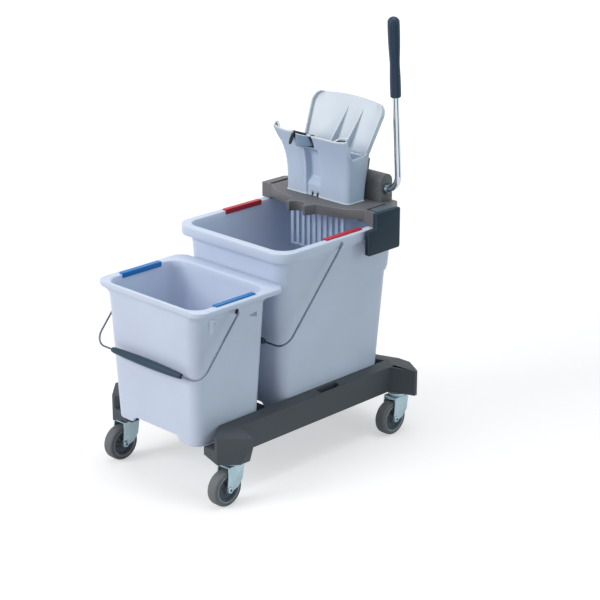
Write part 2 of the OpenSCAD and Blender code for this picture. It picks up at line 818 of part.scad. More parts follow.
// Front outline in the (x, z) plane: straight sides, then wings that spread to their tips
module wing_outline() {
    side_z = deck_z + 0.13 * hopper_front_h;
    steps = 10;
    right = [for (i = [0 : steps]) [
        hopper_x + wing * pow(i / steps, 1.8),
        side_z + (deck_z + hopper_front_h - side_z) * i / steps
    ]];
    left = [for (i = [0 : steps]) [-right[steps - i][0], right[steps - i][1]]];
    dip_z = deck_z + hopper_front_h - edge_dip;
    dip_x = 0.85 * hopper_x;
    polygon(concat(
        [[-hopper_x, deck_z], [hopper_x, deck_z]], right, [[dip_x, dip_z], [-dip_x, dip_z]], left
    ));
}

// Front wall with a channel pressed into it, before its outline is cut
module front_skin() {
    span = hopper_x + wing + over;
    side_profile(-span, channel_x0) flare_profile(hopper_wall);
    side_profile(channel_x1, span) flare_profile(hopper_wall);
    side_profile(channel_x0 - hopper_wall, channel_x1 + hopper_wall) translate([channel_d, 0])
        flare_profile(hopper_wall);
    side_profile(channel_x0 - hopper_wall, channel_x0) flare_profile(channel_d + hopper_wall / 3);
    side_profile(channel_x1, channel_x1 + hopper_wall) flare_profile(channel_d + hopper_wall / 3);
}

module hopper_front() {
    color(c_bucket) difference() {
        union() {
            intersection() {
                front_skin();
                rotate([90, 0, 0]) translate([0, 0, -hopper_y1])
                    linear_extrude(hopper_y1 - hopper_y0 + flare_r) wing_outline();
            }
            both_sides() {
                side_profile(hopper_x - hopper_wall, hopper_x) polygon([
                    [hopper_y0 + hopper_wall / 2, deck_z], [hopper_y1 - hopper_wall - side_lean, deck_z],
                    [hopper_y1 - hopper_wall, deck_z + hopper_side_h],
                    [hopper_y0 + hopper_wall / 2, deck_z + hopper_side_h]
                ]);
                // Front edge of the side wall, along the flare
                side_profile(hopper_x - hopper_wall, hopper_x) intersection() {
                    translate([hopper_wall / 2, 0]) flare_profile(hopper_l / 2);
                    translate([hopper_y0 - flare_r, deck_z]) square([2 * flare_r, hopper_side_h]);
                }
            }
        }
        // Drain slots at the channel's foot
        for (x = [5, 20]) translate([channel_x0 + x, hopper_y0, deck_z - over])
            cube([5, channel_d + hopper_wall + over, 9 + over]);
        // Notch for the latch
        translate([latch_x - notch_w / 2, hopper_y0 - flare_r, latch_z])
            cube([notch_w, flare_r + hopper_l / 2, hopper_front_h]);
    }
}

// Latch tab that stands in the notch of the front wall
module latch_tab() {
    half = notch_w / 2 - 10;
    tab_h = 27;
    tab_t = 12;
    tab_out = 17;
    color(c_slate) translate([latch_x - half, hopper_y0 - tab_out, latch_z]) cube([2 * half, tab_t, tab_h]);
}

// Outline of the back plate, up its slope: widening sides and an arched top
module back_outline(inset) {
    rise = 10;
    half = hopper_x + back_wide;
    corner_r = 22;
    corner = concat(
        [for (a = [0 : 18 : 90]) corner_r * [1 - cos(a), 1.45 - 1.18 * sin(a)]], [[corner_r, 0]]
    );
    last = len(corner) - 1;
    arch_r = (half * half + rise * rise) / (2 * rise);
    intersection() {
        polygon(concat(
            [[-hopper_x + inset, -over], [hopper_x - inset, -over]],
            [for (c = corner) [half - inset - c[0], back_l - c[1]]],
            [for (i = [last : -1 : 0]) [-half + inset + corner[i][0], back_l - corner[i][1]]]
        ));
        translate([0, back_l - arch_r]) circle(arch_r, $fn = 256);
    }
}

module hopper_back() {
    foot_z = deck_z + hopper_side_h;
    rib_d = 16;
    rib_t = 4;
    rib_x = hopper_x * [-0.065, 0.4];
    rib_foot = 6;
    rib_fan = 4.5;
    color(c_bucket) difference() {
        union() {
            translate([0, hopper_y1, deck_z]) rotate([90, 0, 0]) linear_extrude(hopper_wall) polygon([
                [-hopper_x + back_in, 0], [hopper_x - back_in, 0],
                [hopper_x, hopper_side_h], [-hopper_x, hopper_side_h]
            ]);
            translate([0, hopper_y1, foot_z]) rotate([90 - back_lean, 0, 0]) {
                linear_extrude(hopper_wall) back_outline(0);
                linear_extrude(back_flange) difference() {
                    back_outline(0);
                    back_outline(hopper_wall);
                }
                for (x = rib_x) translate([x, 0, 0]) rotate([0, 0, -rib_fan]) rotate([0, -90, 0])
                    linear_extrude(rib_t) polygon([
                        [0, rib_foot], [hopper_wall + rib_d, rib_foot], [hopper_wall, 0.8 * back_l],
                        [0, 0.8 * back_l]
                    ]);
            }
        }
        // Slots for the cams, open at the foot
        for (x = [-cam_x, cam_x])
            translate([x - cam_w / 2 - 1, hopper_y1 - hopper_wall - over, deck_z - over])
                cube([cam_w + 2, hopper_wall + 2 * over, over + shaft_up + cam_tip + 2]);
    }
}

module strainer_comb() {
    comb_x = hopper_x - 14;
    bar_w = 8;
    bar_t = 6;
    rail_h = 8;
    top = deck_z - deck_t;
    pitch = (2 * comb_x - bar_w) / (comb_n - 1);
    color(c_bucket) translate([0, hopper_y0 + 1, 0]) {
        translate([-comb_x, 0, top - rail_h]) cube([2 * comb_x, bar_t, rail_h]);
        for (i = [0 : comb_n - 1]) translate([-comb_x + i * pitch, 0, top - comb_h])
            cube([bar_w, bar_t, comb_h]);
        translate([-comb_x, 1, top - comb_h]) cube([2 * comb_x, bar_t - 2, rail_h / 2]);
    }
}

module press_plate() {
    plate_x = hopper_x - hopper_wall - 8;
    plate_foot = 5;
    plate_head = 1;
    color(c_bucket) translate([-plate_x, press_y0, deck_z + plate_foot])
        cube([2 * plate_x, press_t, hopper_side_h - plate_foot - plate_head]);
}

// Housing over the shaft, in the (y, z) plane, with a round top
module cover_profile(wall) {
    round_up = shaft_up + cover_lift;
    translate([shaft_y, deck_z + round_up]) circle(cover_r - wall);
    translate([shaft_y - cover_r + wall, deck_z]) square([2 * (cover_r - wall), round_up]);
}

module shaft_cover() {
    end_t = bush_l;
    slot_w = cam_w + 4;
    color(c_bridge) difference() {
        side_profile(cover_x0, cover_x1) cover_profile(0);
        difference() {
            side_profile(cover_x0 + end_t, cover_x1 - end_t) cover_profile(cover_wall);
            // Feet that the screws go through
            for (x = [cover_x0 + 20, cover_x1 - 20]) translate([x - 8, shaft_y - cover_r, deck_z])
                cube([16, 2 * cover_r, 6]);
        }
        translate([0, shaft_y, shaft_z]) bar_x(bush_r, cover_x0 - over, cover_x1 + over);
        // Slots that the cams swing through
        for (x = [-cam_x, cam_x]) translate([x - slot_w / 2, shaft_y - cover_r - over, deck_z - over])
            cube([slot_w, 1.88 * cover_r + over, shaft_up + cover_lift + cover_r + 2 * over]);
        cover_screw_places() translate([0, 0, -over]) cylinder(d = 4.4, h = 12);
    }
}

// Places of the housing's screws, on the deck
module cover_screw_places() {
    for (x = [cover_x0 + 20, cover_x1 - 20]) translate([x, shaft_y + cover_r - 7, deck_z]) children();
}

module cover_screws() {
    color(c_steel) cover_screw_places() {
        cylinder(d = 4, h = 6);
        translate([0, 0, 6]) cylinder(d = 7, h = 2.5);
    }
}

module shaft_bush(x) {
    color(c_hub) translate([0, shaft_y, shaft_z]) difference() {
        bar_x(bush_r, x, x + bush_l);
        bar_x(shaft_r + play, x - over, x + bush_l + over);
    }
}

module shaft_bush_left() {
    shaft_bush(cover_x0);
}

module shaft_bush_right() {
    shaft_bush(cover_x1 - bush_l);
}

// Torsion spring round the shaft, drawn as the sleeve that its closed turns fill
module return_spring() {
    spring_half = cam_x / 2;
    color(c_steel) translate([0, shaft_y, shaft_z]) difference() {
        bar_x(shaft_r + 3, -spring_half, spring_half);
        bar_x(shaft_r + 0.6, -spring_half - over, spring_half + over);
    }
}

// Lever pieces, drawn about the shaft axis

module at_shaft() {
    translate([0, shaft_y, shaft_z]) children();
}

module lever_shaft() {
    color(c_steel) at_shaft() difference() {
        bar_x(shaft_r, cover_x0 - 4, shaft_x1);
        bar_x(rod_r, shaft_x1 - socket_l, shaft_x1 + over);
    }
}

// Point of the cam's flank at unrolled angle a, in radians, with the lever at rest
function cam_point(a) = let (t = (cam_a0 - a) * 180 / PI, y = -cam_k * a, z = cam_k)
    [y * cos(t) - z * sin(t), y * sin(t) + z * cos(t)];

module cam(x) {
    steps = 10;
    flank = [for (i = [-2 : steps]) cam_point(cam_a0 + (cam_a1 - cam_a0) * i / steps)];
    tip = cam_point(cam_a1);
    color(c_hub) at_shaft() difference() {
        union() {
            side_profile(x - cam_w / 2, x + cam_w / 2) polygon(concat([[-shaft_r, 0]], flank,
                [[tip[0] + 5, tip[1] - 4], [shaft_r + 2, shaft_r], [shaft_r, 0]]));
            bar_x(shaft_r + 4, x - cam_w / 2, x + cam_w / 2);
        }
        bar_x(shaft_r, x - cam_w, x + cam_w);
    }
}

module cam_left() {
    cam(-cam_x);
}

module cam_right() {
    cam(cam_x);
}

module lever_rod() {
    start = shaft_x1 - socket_l + over;
    color(c_steel) at_shaft() rotate([lever_lean, 0, 0]) {
        bar_x(rod_r, start, lever_x - lever_bend);
        translate([lever_x - lever_bend, 0, lever_bend]) rotate([-90, 0, 0])
            rotate_extrude(angle = 90) translate([lever_bend, 0]) circle(rod_r);
        translate([lever_x, 0, lever_bend]) cylinder(r = rod_r, h = lever_h - lever_bend - grip_top);
    }
}

// Hand grip on the rod, thicker towards its domed top
module lever_grip() {
    steps = 12;
    r = grip_d / 2;
    dome = 12;
    flat = grip_l - dome;
    side = [for (i = [0 : steps]) [r * (0.82 + 0.18 * pow(sin(90 * i / steps), 3)), flat * i / steps]];
    top = [for (i = [1 : 5]) [r * cos(18 * i), flat + dome * sin(18 * i)]];
    color(c_slate) at_shaft() rotate([lever_lean, 0, 0]) translate([lever_x, 0, lever_h - grip_l])
    difference() {
        rotate_extrude() polygon(concat([[0, 0]], side, top));
        translate([0, 0, -over]) cylinder(r = rod_r, h = grip_l - grip_top + over);
    }
}

chassis_frame();
for (c = CASTORS) translate([c[1], c[2], 0]) {
    castor_stem();
    castor_bearing();
    castor_fork();
    castor_axle();
    castor_hub();
    castor_tyre();
}
small_bucket();
small_clip_left();
small_clip_right();
small_bail_wire();
small_bail_grip();
large_bucket();
large_clip_left();
large_clip_right();
large_bail_wire();
large_bail_grip();
press_bridge();
side_hook();
hopper_front();
hopper_back();
latch_tab();
strainer_comb();
press_plate();
shaft_cover();
cover_screws();
shaft_bush_left();
shaft_bush_right();
return_spring();
lever_shaft();
cam_left();
cam_right();
lever_rod();
lever_grip();
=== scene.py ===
import json
import math

import bmesh
import bpy
import numpy as np
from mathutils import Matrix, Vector


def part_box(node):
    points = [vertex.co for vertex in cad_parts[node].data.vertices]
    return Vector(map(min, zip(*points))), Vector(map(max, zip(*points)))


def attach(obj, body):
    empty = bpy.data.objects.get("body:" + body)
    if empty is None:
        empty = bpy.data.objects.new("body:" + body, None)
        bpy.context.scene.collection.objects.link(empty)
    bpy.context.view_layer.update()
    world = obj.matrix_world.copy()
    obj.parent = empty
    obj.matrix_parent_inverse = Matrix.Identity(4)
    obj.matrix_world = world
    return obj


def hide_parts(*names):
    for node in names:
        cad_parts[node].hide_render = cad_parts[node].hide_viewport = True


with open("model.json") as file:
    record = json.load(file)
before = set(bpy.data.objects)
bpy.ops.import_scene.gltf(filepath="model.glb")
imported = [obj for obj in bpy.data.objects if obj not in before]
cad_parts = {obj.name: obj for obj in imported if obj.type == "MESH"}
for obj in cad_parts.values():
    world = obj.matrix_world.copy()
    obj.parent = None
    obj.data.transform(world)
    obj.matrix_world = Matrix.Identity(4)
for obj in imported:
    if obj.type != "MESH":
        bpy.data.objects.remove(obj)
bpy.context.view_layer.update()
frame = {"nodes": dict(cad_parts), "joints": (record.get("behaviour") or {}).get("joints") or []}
scene = bpy.context.scene

# Studio: the trolley stands on a pale floor, under a broad soft light from the front left, one from above
# and a weak cool one from the right. Two dark patches on the floor, out of the picture, are seen only by
# rays off shiny faces: a painted reflection in its bright steel. The camera looks down on the front right
# corner, as in the photograph.


class Tone:
    """A socket in a node tree. Sums of Tones add Math nodes, and make() adds any other node."""

    def __init__(self, tree, socket=None):
        self.tree = tree
        self.socket = socket

    def make(self, kind, settings=None, inputs=None, out=0):
        """Adds a node: its settings first, then the values of its inputs or the links to them."""
        node = self.tree.nodes.new("ShaderNode" + kind)
        for key, value in (settings or {}).items():
            setattr(node, key, value)
        for key, value in (inputs or {}).items():
            if isinstance(value, Tone):
                self.tree.links.new(value.socket, node.inputs[key])
            else:
                node.inputs[key].default_value = value
        return Tone(self.tree, node.outputs[out] if len(node.outputs) else None)

    def sum_of(self, operation, a, b):
        """Math node on two Tones or numbers."""
        return self.make("Math", {"operation": operation}, {0: a, 1: b})

    def __add__(self, other):
        return self.sum_of("ADD", self, other)

    def __radd__(self, other):
        return self.sum_of("ADD", other, self)

    def __sub__(self, other):
        return self.sum_of("SUBTRACT", self, other)

    def __rsub__(self, other):
        return self.sum_of("SUBTRACT", other, self)

    def __mul__(self, other):
        return self.sum_of("MULTIPLY", self, other)

    def __rmul__(self, other):
        return self.sum_of("MULTIPLY", other, self)

    def between(self, low, high):
        """0 below low, 1 above high, with a smooth rise between them."""
        return self.make("MapRange", {"interpolation_type": "SMOOTHSTEP"},
                         {"Value": self, "From Min": low, "From Max": high})

    def blend(self, a, b):
        """Colour a where this is 0 and colour b where it is 1."""
        return self.make("Mix", {"data_type": "RGBA"}, {0: self, 6: a, 7: b}, out=2)


def blank(name):
    """New material with an empty node tree, and a Tone to build it with."""
    finish = bpy.data.materials.new(name)
    finish.use_nodes = True
    finish.node_tree.nodes.clear()
    return finish, Tone(finish.node_tree)


def looked_at(start):
    """1 for a ray from the camera, off a shiny face or through glass, and 0 for one that only lights."""
    straight, shiny, through = (start.make("LightPath", out=ray)
                                for ray in ("Is Camera Ray", "Is Glossy Ray", "Is Transmission Ray"))
    return straight + shiny + through


def rgba(red, green, blue):
    """Linear colour from the 0 to 255 values that a screen shows."""
    share = np.array([red, green, blue]) / 255
    linear = np.where(share <= 0.04045, share / 12.92, ((share + 0.055) / 1.055) ** 2.4)
    return (*map(float, linear), 1.0)


world = bpy.data.worlds.new("studio")
world.use_nodes = True
world.node_tree.nodes.clear()
sky = Tone(world.node_tree)
backdrop = sky.make("Background", inputs={"Color": (1, 1, 1, 1), "Strength": 0.35 + 0.65 * looked_at(sky)})
sky.make("OutputWorld", inputs={"Surface": backdrop})
scene.world = world

floor_reach = 30
floor_mesh = bpy.data.meshes.new("floor")
floor_mesh.from_pydata([(-floor_reach, -floor_reach, 0), (floor_reach, -floor_reach, 0),
                        (floor_reach, floor_reach, 0), (-floor_reach, floor_reach, 0)], [], [(0, 1, 2, 3)])
floor = bpy.data.objects.new("floor", floor_mesh)
scene.collection.objects.link(floor)
floor_paint, pale = blank("pale_floor")
floor_place = pale.make("TexCoord", out="Object")
matt = pale.make("BsdfDiffuse", inputs={"Color": (0.62, 0.62, 0.63, 1)})
away = pale.make("VectorMath", {"operation": "LENGTH"}, {0: floor_place}, out=1)
glow = pale.make("Emission", inputs={"Color": (1, 1, 1, 1),
                                     "Strength": looked_at(pale) * (0.5 + 0.36 * away.between(0.8, 4.0))})
lit = pale.make("AddShader", inputs={0: matt, 1: glow})
# Painted reflection: two dark patches fan out from under the steel rod, black only to rays off shiny faces.
rod_foot = (0.159, 0.25, 0.0)
reflection_patch_ways = (math.radians(11.4), math.radians(-101.6))
reflection_patch_near, reflection_patch_fade, reflection_patch_spread = 1.2, 0.15, 0.3
from_rod = pale.make("VectorMath", {"operation": "SUBTRACT"}, {0: floor_place, 1: rod_foot})
reflection_patches = []
for way in reflection_patch_ways:
    ahead = (math.cos(way), math.sin(way), 0.0)
    aside = (-math.sin(way), math.cos(way), 0.0)
    along = pale.make("VectorMath", {"operation": "DOT_PRODUCT"}, {0: from_rod, 1: ahead}, out=1)
    across = pale.make("VectorMath", {"operation": "DOT_PRODUCT"}, {0: from_rod, 1: aside}, out=1)
    beyond = (across * across - reflection_patch_spread ** 2 * along * along).between(-0.1, reflection_patch_fade)
    reflection_patches.append(along.between(reflection_patch_near, reflection_patch_near + reflection_patch_fade) * (1 - beyond))
painted_reflection = pale.make("LightPath", out="Is Glossy Ray") * (reflection_patches[0] + reflection_patches[1])
reflection_black = pale.make("Emission", inputs={"Color": (0.10, 0.11, 0.12, 1), "Strength": 1.0})
surface = pale.make("MixShader", inputs={0: painted_reflection, 1: lit, 2: reflection_black})
pale.make("OutputMaterial", inputs={"Surface": surface})
floor_mesh.materials.append(floor_paint)


def softbox(name, place, aim, size, power, colour=(1, 1, 1)):
    """Square lamp at a place, turned to shine at a point."""
    data = bpy.data.lights.new(name, "AREA")
    data.size = size
    data.energy = power
    data.color = colour
    lamp = bpy.data.objects.new(name, data)
    lamp.location = place
    lamp.rotation_euler = (Vector(aim) - Vector(place)).to_track_quat("-Z", "Y").to_euler()
    scene.collection.objects.link(lamp)


softbox("front_light", place=(-1.6, -4.0, 2.6), aim=(0, -0.1, 0.4), size=2.4, power=122)
softbox("top_light", place=(0.2, 0.3, 4.0), aim=(0, 0, 0.4), size=2.6, power=62)
softbox("side_light", place=(4.4, 1.4, 1.8), aim=(0, 0, 0.4), size=2.0, power=26, colour=(0.55, 0.94, 1.0))

camera_turn, camera_dip = math.radians(44.45), math.radians(19.83)
picture_px, focal_px, sensor_mm = 600, 1833.5, 36
camera_data = bpy.data.cameras.new("camera")
camera_data.sensor_width = sensor_mm
camera_data.lens = sensor_mm * focal_px / picture_px
camera = bpy.data.objects.new("camera", camera_data)
camera.location = (2.6001, -2.5169, 1.6381)
look = Vector((-math.sin(camera_turn) * math.cos(camera_dip), math.cos(camera_turn) * math.cos(camera_dip),
               -math.sin(camera_dip)))
camera.rotation_euler = look.to_track_quat("-Z", "Y").to_euler()
scene.collection.objects.link(camera)
scene.camera = camera
scene.view_settings.view_transform = "Standard"

# Chassis: one dark grey moulding, two hollow beams joined by cross members, with a flared boss for each
# castor. Its edges are rounded as the mould rounds them, and a little paler: partly rubbed by use, partly a
# painted highlight along them.

mm = 0.001


def show(obj, body, slot, *nodes):
    """Puts a piece on its body and hides the solids that it stands for. The slot, its finish's name, is not
    used.
    """
    scene.collection.objects.link(obj)
    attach(obj, body)
    if nodes:
        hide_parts(*nodes)


def softened(name, node, radius, finishes, segments=2):
    """Copy of a solid with round edges: doubles merged, flat faces joined, and a Bevel along each edge
    that turns by more than 30 degrees. A second finish covers the rounded edges; where it is paler, that is
    partly wear and partly a painted highlight."""
    shape = bmesh.new()
    shape.from_mesh(frame["nodes"][node].data)
    bmesh.ops.remove_doubles(shape, verts=shape.verts, dist=0.01 * mm)
    bmesh.ops.dissolve_limit(shape, angle_limit=math.radians(0.6), verts=shape.verts, edges=shape.edges)
    mesh = bpy.data.meshes.new(name)
    shape.to_mesh(mesh)
    shape.free()
    mesh.polygons.foreach_set("use_smooth", np.ones(len(mesh.polygons), bool))
    mesh.polygons.foreach_set("material_index", np.zeros(len(mesh.polygons), np.int32))
    mesh.materials.clear()
    for finish in finishes:
        mesh.materials.append(finish)
    obj = bpy.data.objects.new(name, mesh)
    edge = obj.modifiers.new("round_edges", "BEVEL")
    edge.width = radius * mm
    edge.segments = segments
    edge.limit_method = "ANGLE"
    edge.angle_limit = math.radians(30)
    edge.harden_normals = True
    edge.material = len(finishes) - 1
    return obj


def moulded(name, colour, rough=0.45, drift=0.06, grain=0.12, scuff=0.05, shine=1.48):
    """Moulded plastic: the colour drifts slowly, a fine spark-eroded grain covers the skin, and faint
    hairline scuffs run along it and dull the shine."""
    finish, start = blank(name)
    place = start.make("TexCoord", out="Object")
    cloud = start.make("TexNoise", inputs={"Vector": place, "Scale": 9.0, "Detail": 3.0})
    skin = start.make("TexNoise", inputs={"Vector": place, "Scale": 1400.0, "Detail": 2.0})
    stretched = start.make("Mapping", inputs={"Vector": place, "Rotation": (0.3, 0.5, 0.2),
                                              "Scale": (30.0, 260.0, 420.0)})
    streak = start.make("TexNoise", inputs={"Vector": stretched, "Scale": 1.0, "Detail": 2.0})
    hairline = streak.between(0.66, 0.78)
    dark = tuple(c * (1 - drift) for c in colour[:3]) + (1.0,)
    light = tuple(min(1.0, c * (1 + drift)) for c in colour[:3]) + (1.0,)
    worn = tuple(min(1.0, c + 0.25 * (1 - c)) for c in colour[:3]) + (1.0,)
    tint = cloud.between(0.3, 0.7).blend(dark, light)
    tint = (hairline * scuff).blend(tint, worn)
    gloss = rough - 0.04 + 0.08 * cloud + 0.1 * hairline + 0.05 * skin
    relief = start.make("Bump", inputs={"Strength": grain, "Distance": 0.0003, "Height": skin})
    shader = start.make("BsdfPrincipled", inputs={"Base Color": tint, "Roughness": gloss, "Normal": relief,
                                                  "IOR": shine})
    start.make("OutputMaterial", inputs={"Surface": shader})
    return finish


chassis_grey = moulded("chassis_grey", rgba(68, 74, 80), 0.6, 0.08, 0.2, 0.08)
# Paler edge finish: partly wear, partly a painted highlight on the rounded edges.
chassis_worn_highlit_edge = moulded("chassis_worn_highlit_edge", rgba(98, 105, 112), 0.44, 0.08, 0.1, 0.15)
show(softened("chassis_moulding", "chassis_frame", 3.6, (chassis_grey, chassis_worn_highlit_edge), 3),
     "chassis", "chassis_plastic", "chassis_frame")

# Castors: a pressed zinc fork swivels on a stem that is pushed into the chassis boss. A grey rubber tyre
# runs on a dark nylon hub with ten ribs, and a bolt through the fork's cheeks is its axle. The outlines are
# pairs of radius and distance along the axle, in millimetres.


def grid_faces(rows, columns, ring):
    """Quads of a grid of points, row by row. The last column meets the first one on a ring."""
    i, j = np.meshgrid(np.arange(rows - 1), np.arange(columns if ring else columns - 1), indexing="ij")
    k = (j + 1) % columns
    return np.stack([i * columns + j, i * columns + k, (i + 1) * columns + k, (i + 1) * columns + j], -1)


def cast(name, finish, *skins, sharp=38):
    """One mesh of closed skins, in millimetres. A skin is a grid of points whose columns close into a ring.
    Its first and last rows meet, or else a flat face shuts each. Doubles are merged, and faces point out."""
    points, faces, start = [], [], 0
    for skin in skins:
        rows, columns = skin.shape[:2]
        points.append(skin.reshape(-1, 3))
        faces += (grid_faces(rows, columns, True).reshape(-1, 4) + start).tolist()
        if not np.allclose(skin[0], skin[-1]):
            faces.append((np.arange(columns)[::-1] + start).tolist())
            faces.append((np.arange(columns) + start + (rows - 1) * columns).tolist())
        start += rows * columns
    mesh = bpy.data.meshes.new(name)
    mesh.from_pydata((np.concatenate(points) * mm).tolist(), [], faces)
    shape = bmesh.new()
    shape.from_mesh(mesh)
    bmesh.ops.remove_doubles(shape, verts=shape.verts, dist=0.002 * mm)
    bmesh.ops.recalc_face_normals(shape, faces=shape.faces)
    shape.to_mesh(mesh)
    shape.free()
    mesh.polygons.foreach_set("use_smooth", np.ones(len(mesh.polygons), bool))
    mesh.set_sharp_from_angle(angle=math.radians(sharp))
    mesh.materials.append(finish)
    return bpy.data.objects.new(name, mesh)


def turned(profile, centre, axis, sides=48):
    """Profile of (radius, distance along the axis) spun round the axis through a point."""
    axis = np.asarray(axis, float) / np.linalg.norm(axis)
    across = np.cross(axis, (0.0, 1.0, 0.0) if abs(axis[1]) < 0.9 else (1.0, 0.0, 0.0))
    across /= np.linalg.norm(across)
    angle = np.linspace(0, 2 * np.pi, sides, endpoint=False)[None, :, None]
    radius, along = np.asarray(profile, float).T[:, :, None, None]
    return centre + along * axis + radius * (np.cos(angle) * across + np.sin(angle) * np.cross(axis, across))


def metal(name, colour, rough, brushed, mottle):
    """Bare or plated steel: fine lines from drawing or rolling, and a mottled shine."""
    finish, start = blank(name)
    place = start.make("TexCoord", out="Object")
    spangle = start.make("TexVoronoi", inputs={"Vector": place, "Scale": 160.0})
    cloud = start.make("TexNoise", inputs={"Vector": place, "Scale": 45.0, "Detail": 4.0})
    drawn = start.make("Mapping", inputs={"Vector": place, "Scale": (900.0, 900.0, 40.0)})
    line = start.make("TexNoise", inputs={"Vector": drawn, "Scale": 1.0, "Detail": 3.0})
    dull = tuple(c * (1 - mottle) for c in colour[:3]) + (1.0,)
    tint = (0.5 * cloud.between(0.35, 0.65) + 0.5 * spangle.between(0.1, 0.5)).blend(colour, dull)
    gloss = rough + 0.5 * rough * cloud + brushed * 0.3 * line
    relief = start.make("Bump", inputs={"Strength": brushed, "Distance": 0.0001, "Height": line})
    shader = start.make("BsdfPrincipled", inputs={"Base Color": tint, "Metallic": 1.0, "Roughness": gloss,
                                                  "Normal": relief})
    start.make("OutputMaterial", inputs={"Surface": shader})
    return finish


zinc = metal("zinc_plate", rgba(174, 197, 206), 0.34, 0.12, 0.14)
rubber = moulded("tyre_rubber", rgba(108, 112, 115), 0.7, 0.1, 0.35, 0.12)
nylon = moulded("hub_nylon", rgba(78, 88, 97), 0.5, 0.08, 0.15, 0.06)
bead_grey = moulded("bead_grey", rgba(176, 186, 194), 0.4, 0.06, 0.1, 0.06)
to_right, to_left = (1, 0, 0), (-1, 0, 0)
wheel_sides, hub_sides = 72, 90
bead = [(27.5, 11.3), (28.3, 12.0), (28.6, 12.5), (28.3, 12.8), (27.6, 12.7), (27.1, 12.1), (27.5, 11.3)]
tread = [(27.5, -11.6), (28.4, -12.1), (30.4, -12.4), (31.2, -12.4), (31.5, -11.9), (32.1, -11.9),
         (32.4, -12.4), (33.6, -12.3), (35.2, -11.6), (36.5, -10.3), (37.2, -8.6), (37.45, -6.0),
         (37.5, -2.0)]
tread += [(r, -a) for r, a in tread[::-1]]
tread += tread[:1]
web_in, web_out = 12.0, 20.6
web = [(4.1, -13.4), (8.2, -13.4), (8.9, -12.9), (10.4, -7.4), (web_in, -6.2), (web_out, -6.2), (21.8, -7.2),
       (22.9, -10.8), (23.6, -11.5), (26.8, -11.5), (27.4, -11.1)]
web += [(r, -a) for r, a in web[::-1]]
web += web[:1]
on_web = np.array([web_in <= r <= web_out for r, _ in web])[:, None]
web_rib = 3.2 * np.cos(5 * np.linspace(0, 2 * np.pi, hub_sides, endpoint=False)) ** 8
bolt = [(3.95, -22.0), (3.95, 17.0), (6.4, 17.0), (6.5, 17.4), (6.5, 19.0), (6.2, 19.8), (5.4, 20.4),
        (3.4, 20.5), (3.0, 20.3), (2.8, 18.6)]
nut = [(4.0, -17.0), (6.3, -17.0), (6.8, -17.3), (6.8, -20.4), (6.2, -21.0), (4.0, -21.0)]
# The dark plug in the bolt head's dimple is painted shade for the hollow, in the hub's nylon finish.
dimple_shade = [(1.0, 18.3), (2.7, 18.3), (2.7, 19.0), (1.8, 19.2), (0.2, 19.2)]
for corner in ("front_left", "front_right", "rear_left", "rear_right"):
    tyre_low, tyre_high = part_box("castor_tyre_" + corner)
    axle = np.array((tyre_low + tyre_high) / 2) / mm
    show(cast("tyre_" + corner, rubber, turned(tread, axle, to_right, wheel_sides)),
         "wheel_" + corner, "tyre_rubber", "castor_tyre_" + corner)
    beads = [turned(bead, axle, outward, wheel_sides) for outward in (to_right, to_left)]
    show(cast("rim_bead_" + corner, bead_grey, *beads), "wheel_" + corner, "hub_plastic")
    hub = turned(web, axle, to_right, hub_sides)
    hub[..., 0] += np.where(on_web, np.sign(hub[..., 0] - axle[0]) * web_rib, 0.0)
    show(cast("hub_" + corner, nylon, hub), "wheel_" + corner, "hub_plastic", "castor_hub_" + corner)
    show(cast("axle_" + corner, zinc, turned(bolt, axle, to_right, 40), turned(nut, axle, to_right, 6)),
         "castor_" + corner, "zinc_steel", "castor_axle_" + corner)
    # Dark plug in the dimple: painted shade.
    show(cast("axle_dimple_shade_" + corner, nylon, turned(dimple_shade, axle, to_right, 20)),
         "castor_" + corner, "hub_plastic")
    for piece, body, round_by in (("stem", "chassis", 0.5), ("bearing", "chassis", 0.7),
                                  ("fork", "castor_" + corner, 0.8)):
        show(softened(piece + "_" + corner, "castor_" + piece + "_" + corner, round_by, (zinc,)),
             body, "zinc_steel", "castor_" + piece + "_" + corner)

# Buckets: two tapered pails moulded in one pale blue grey plastic, with a flat flanged rim, a foot that is
# arched at the front, and a boss on each side for the bail. They stand loose on the chassis tray.


def smooth(value, low, high):
    """0 below low, 1 above high, and a cubic rise between."""
    share = np.clip((value - low) / (high - low), 0, 1)
    return share * share * (3 - 2 * share)


def ring_of(half, front, rear, near_r, far_r, arc=10, run=44):
    """Rounded rectangles seen from above, one for each row of sizes: quarter circles joined by evenly
    divided straight sides, anticlockwise from the front right corner."""
    half, front, rear, near_r, far_r = (np.asarray(size, float)[:, None]
                                        for size in (half, front, rear, near_r, far_r))
    quarter = np.linspace(0, np.pi / 2, arc)
    corners = []
    for k, (side, y, inward, corner_r) in enumerate(((1, front, 1, near_r), (1, rear, -1, far_r),
                                                     (-1, rear, -1, far_r), (-1, front, 1, near_r))):
        angle = quarter + (k - 1) * np.pi / 2
        corners.append(np.stack([side * (half - corner_r) + corner_r * np.cos(angle),
                                 y + inward * corner_r + corner_r * np.sin(angle)], -1))
    share = np.linspace(0, 1, run + 1)[1:-1][None, :, None]
    sides = [corners[k][:, -1:] * (1 - share) + corners[(k + 1) % 4][:, :1] * share for k in range(4)]
    return np.concatenate([part for pair in zip(corners, sides) for part in pair], 1)


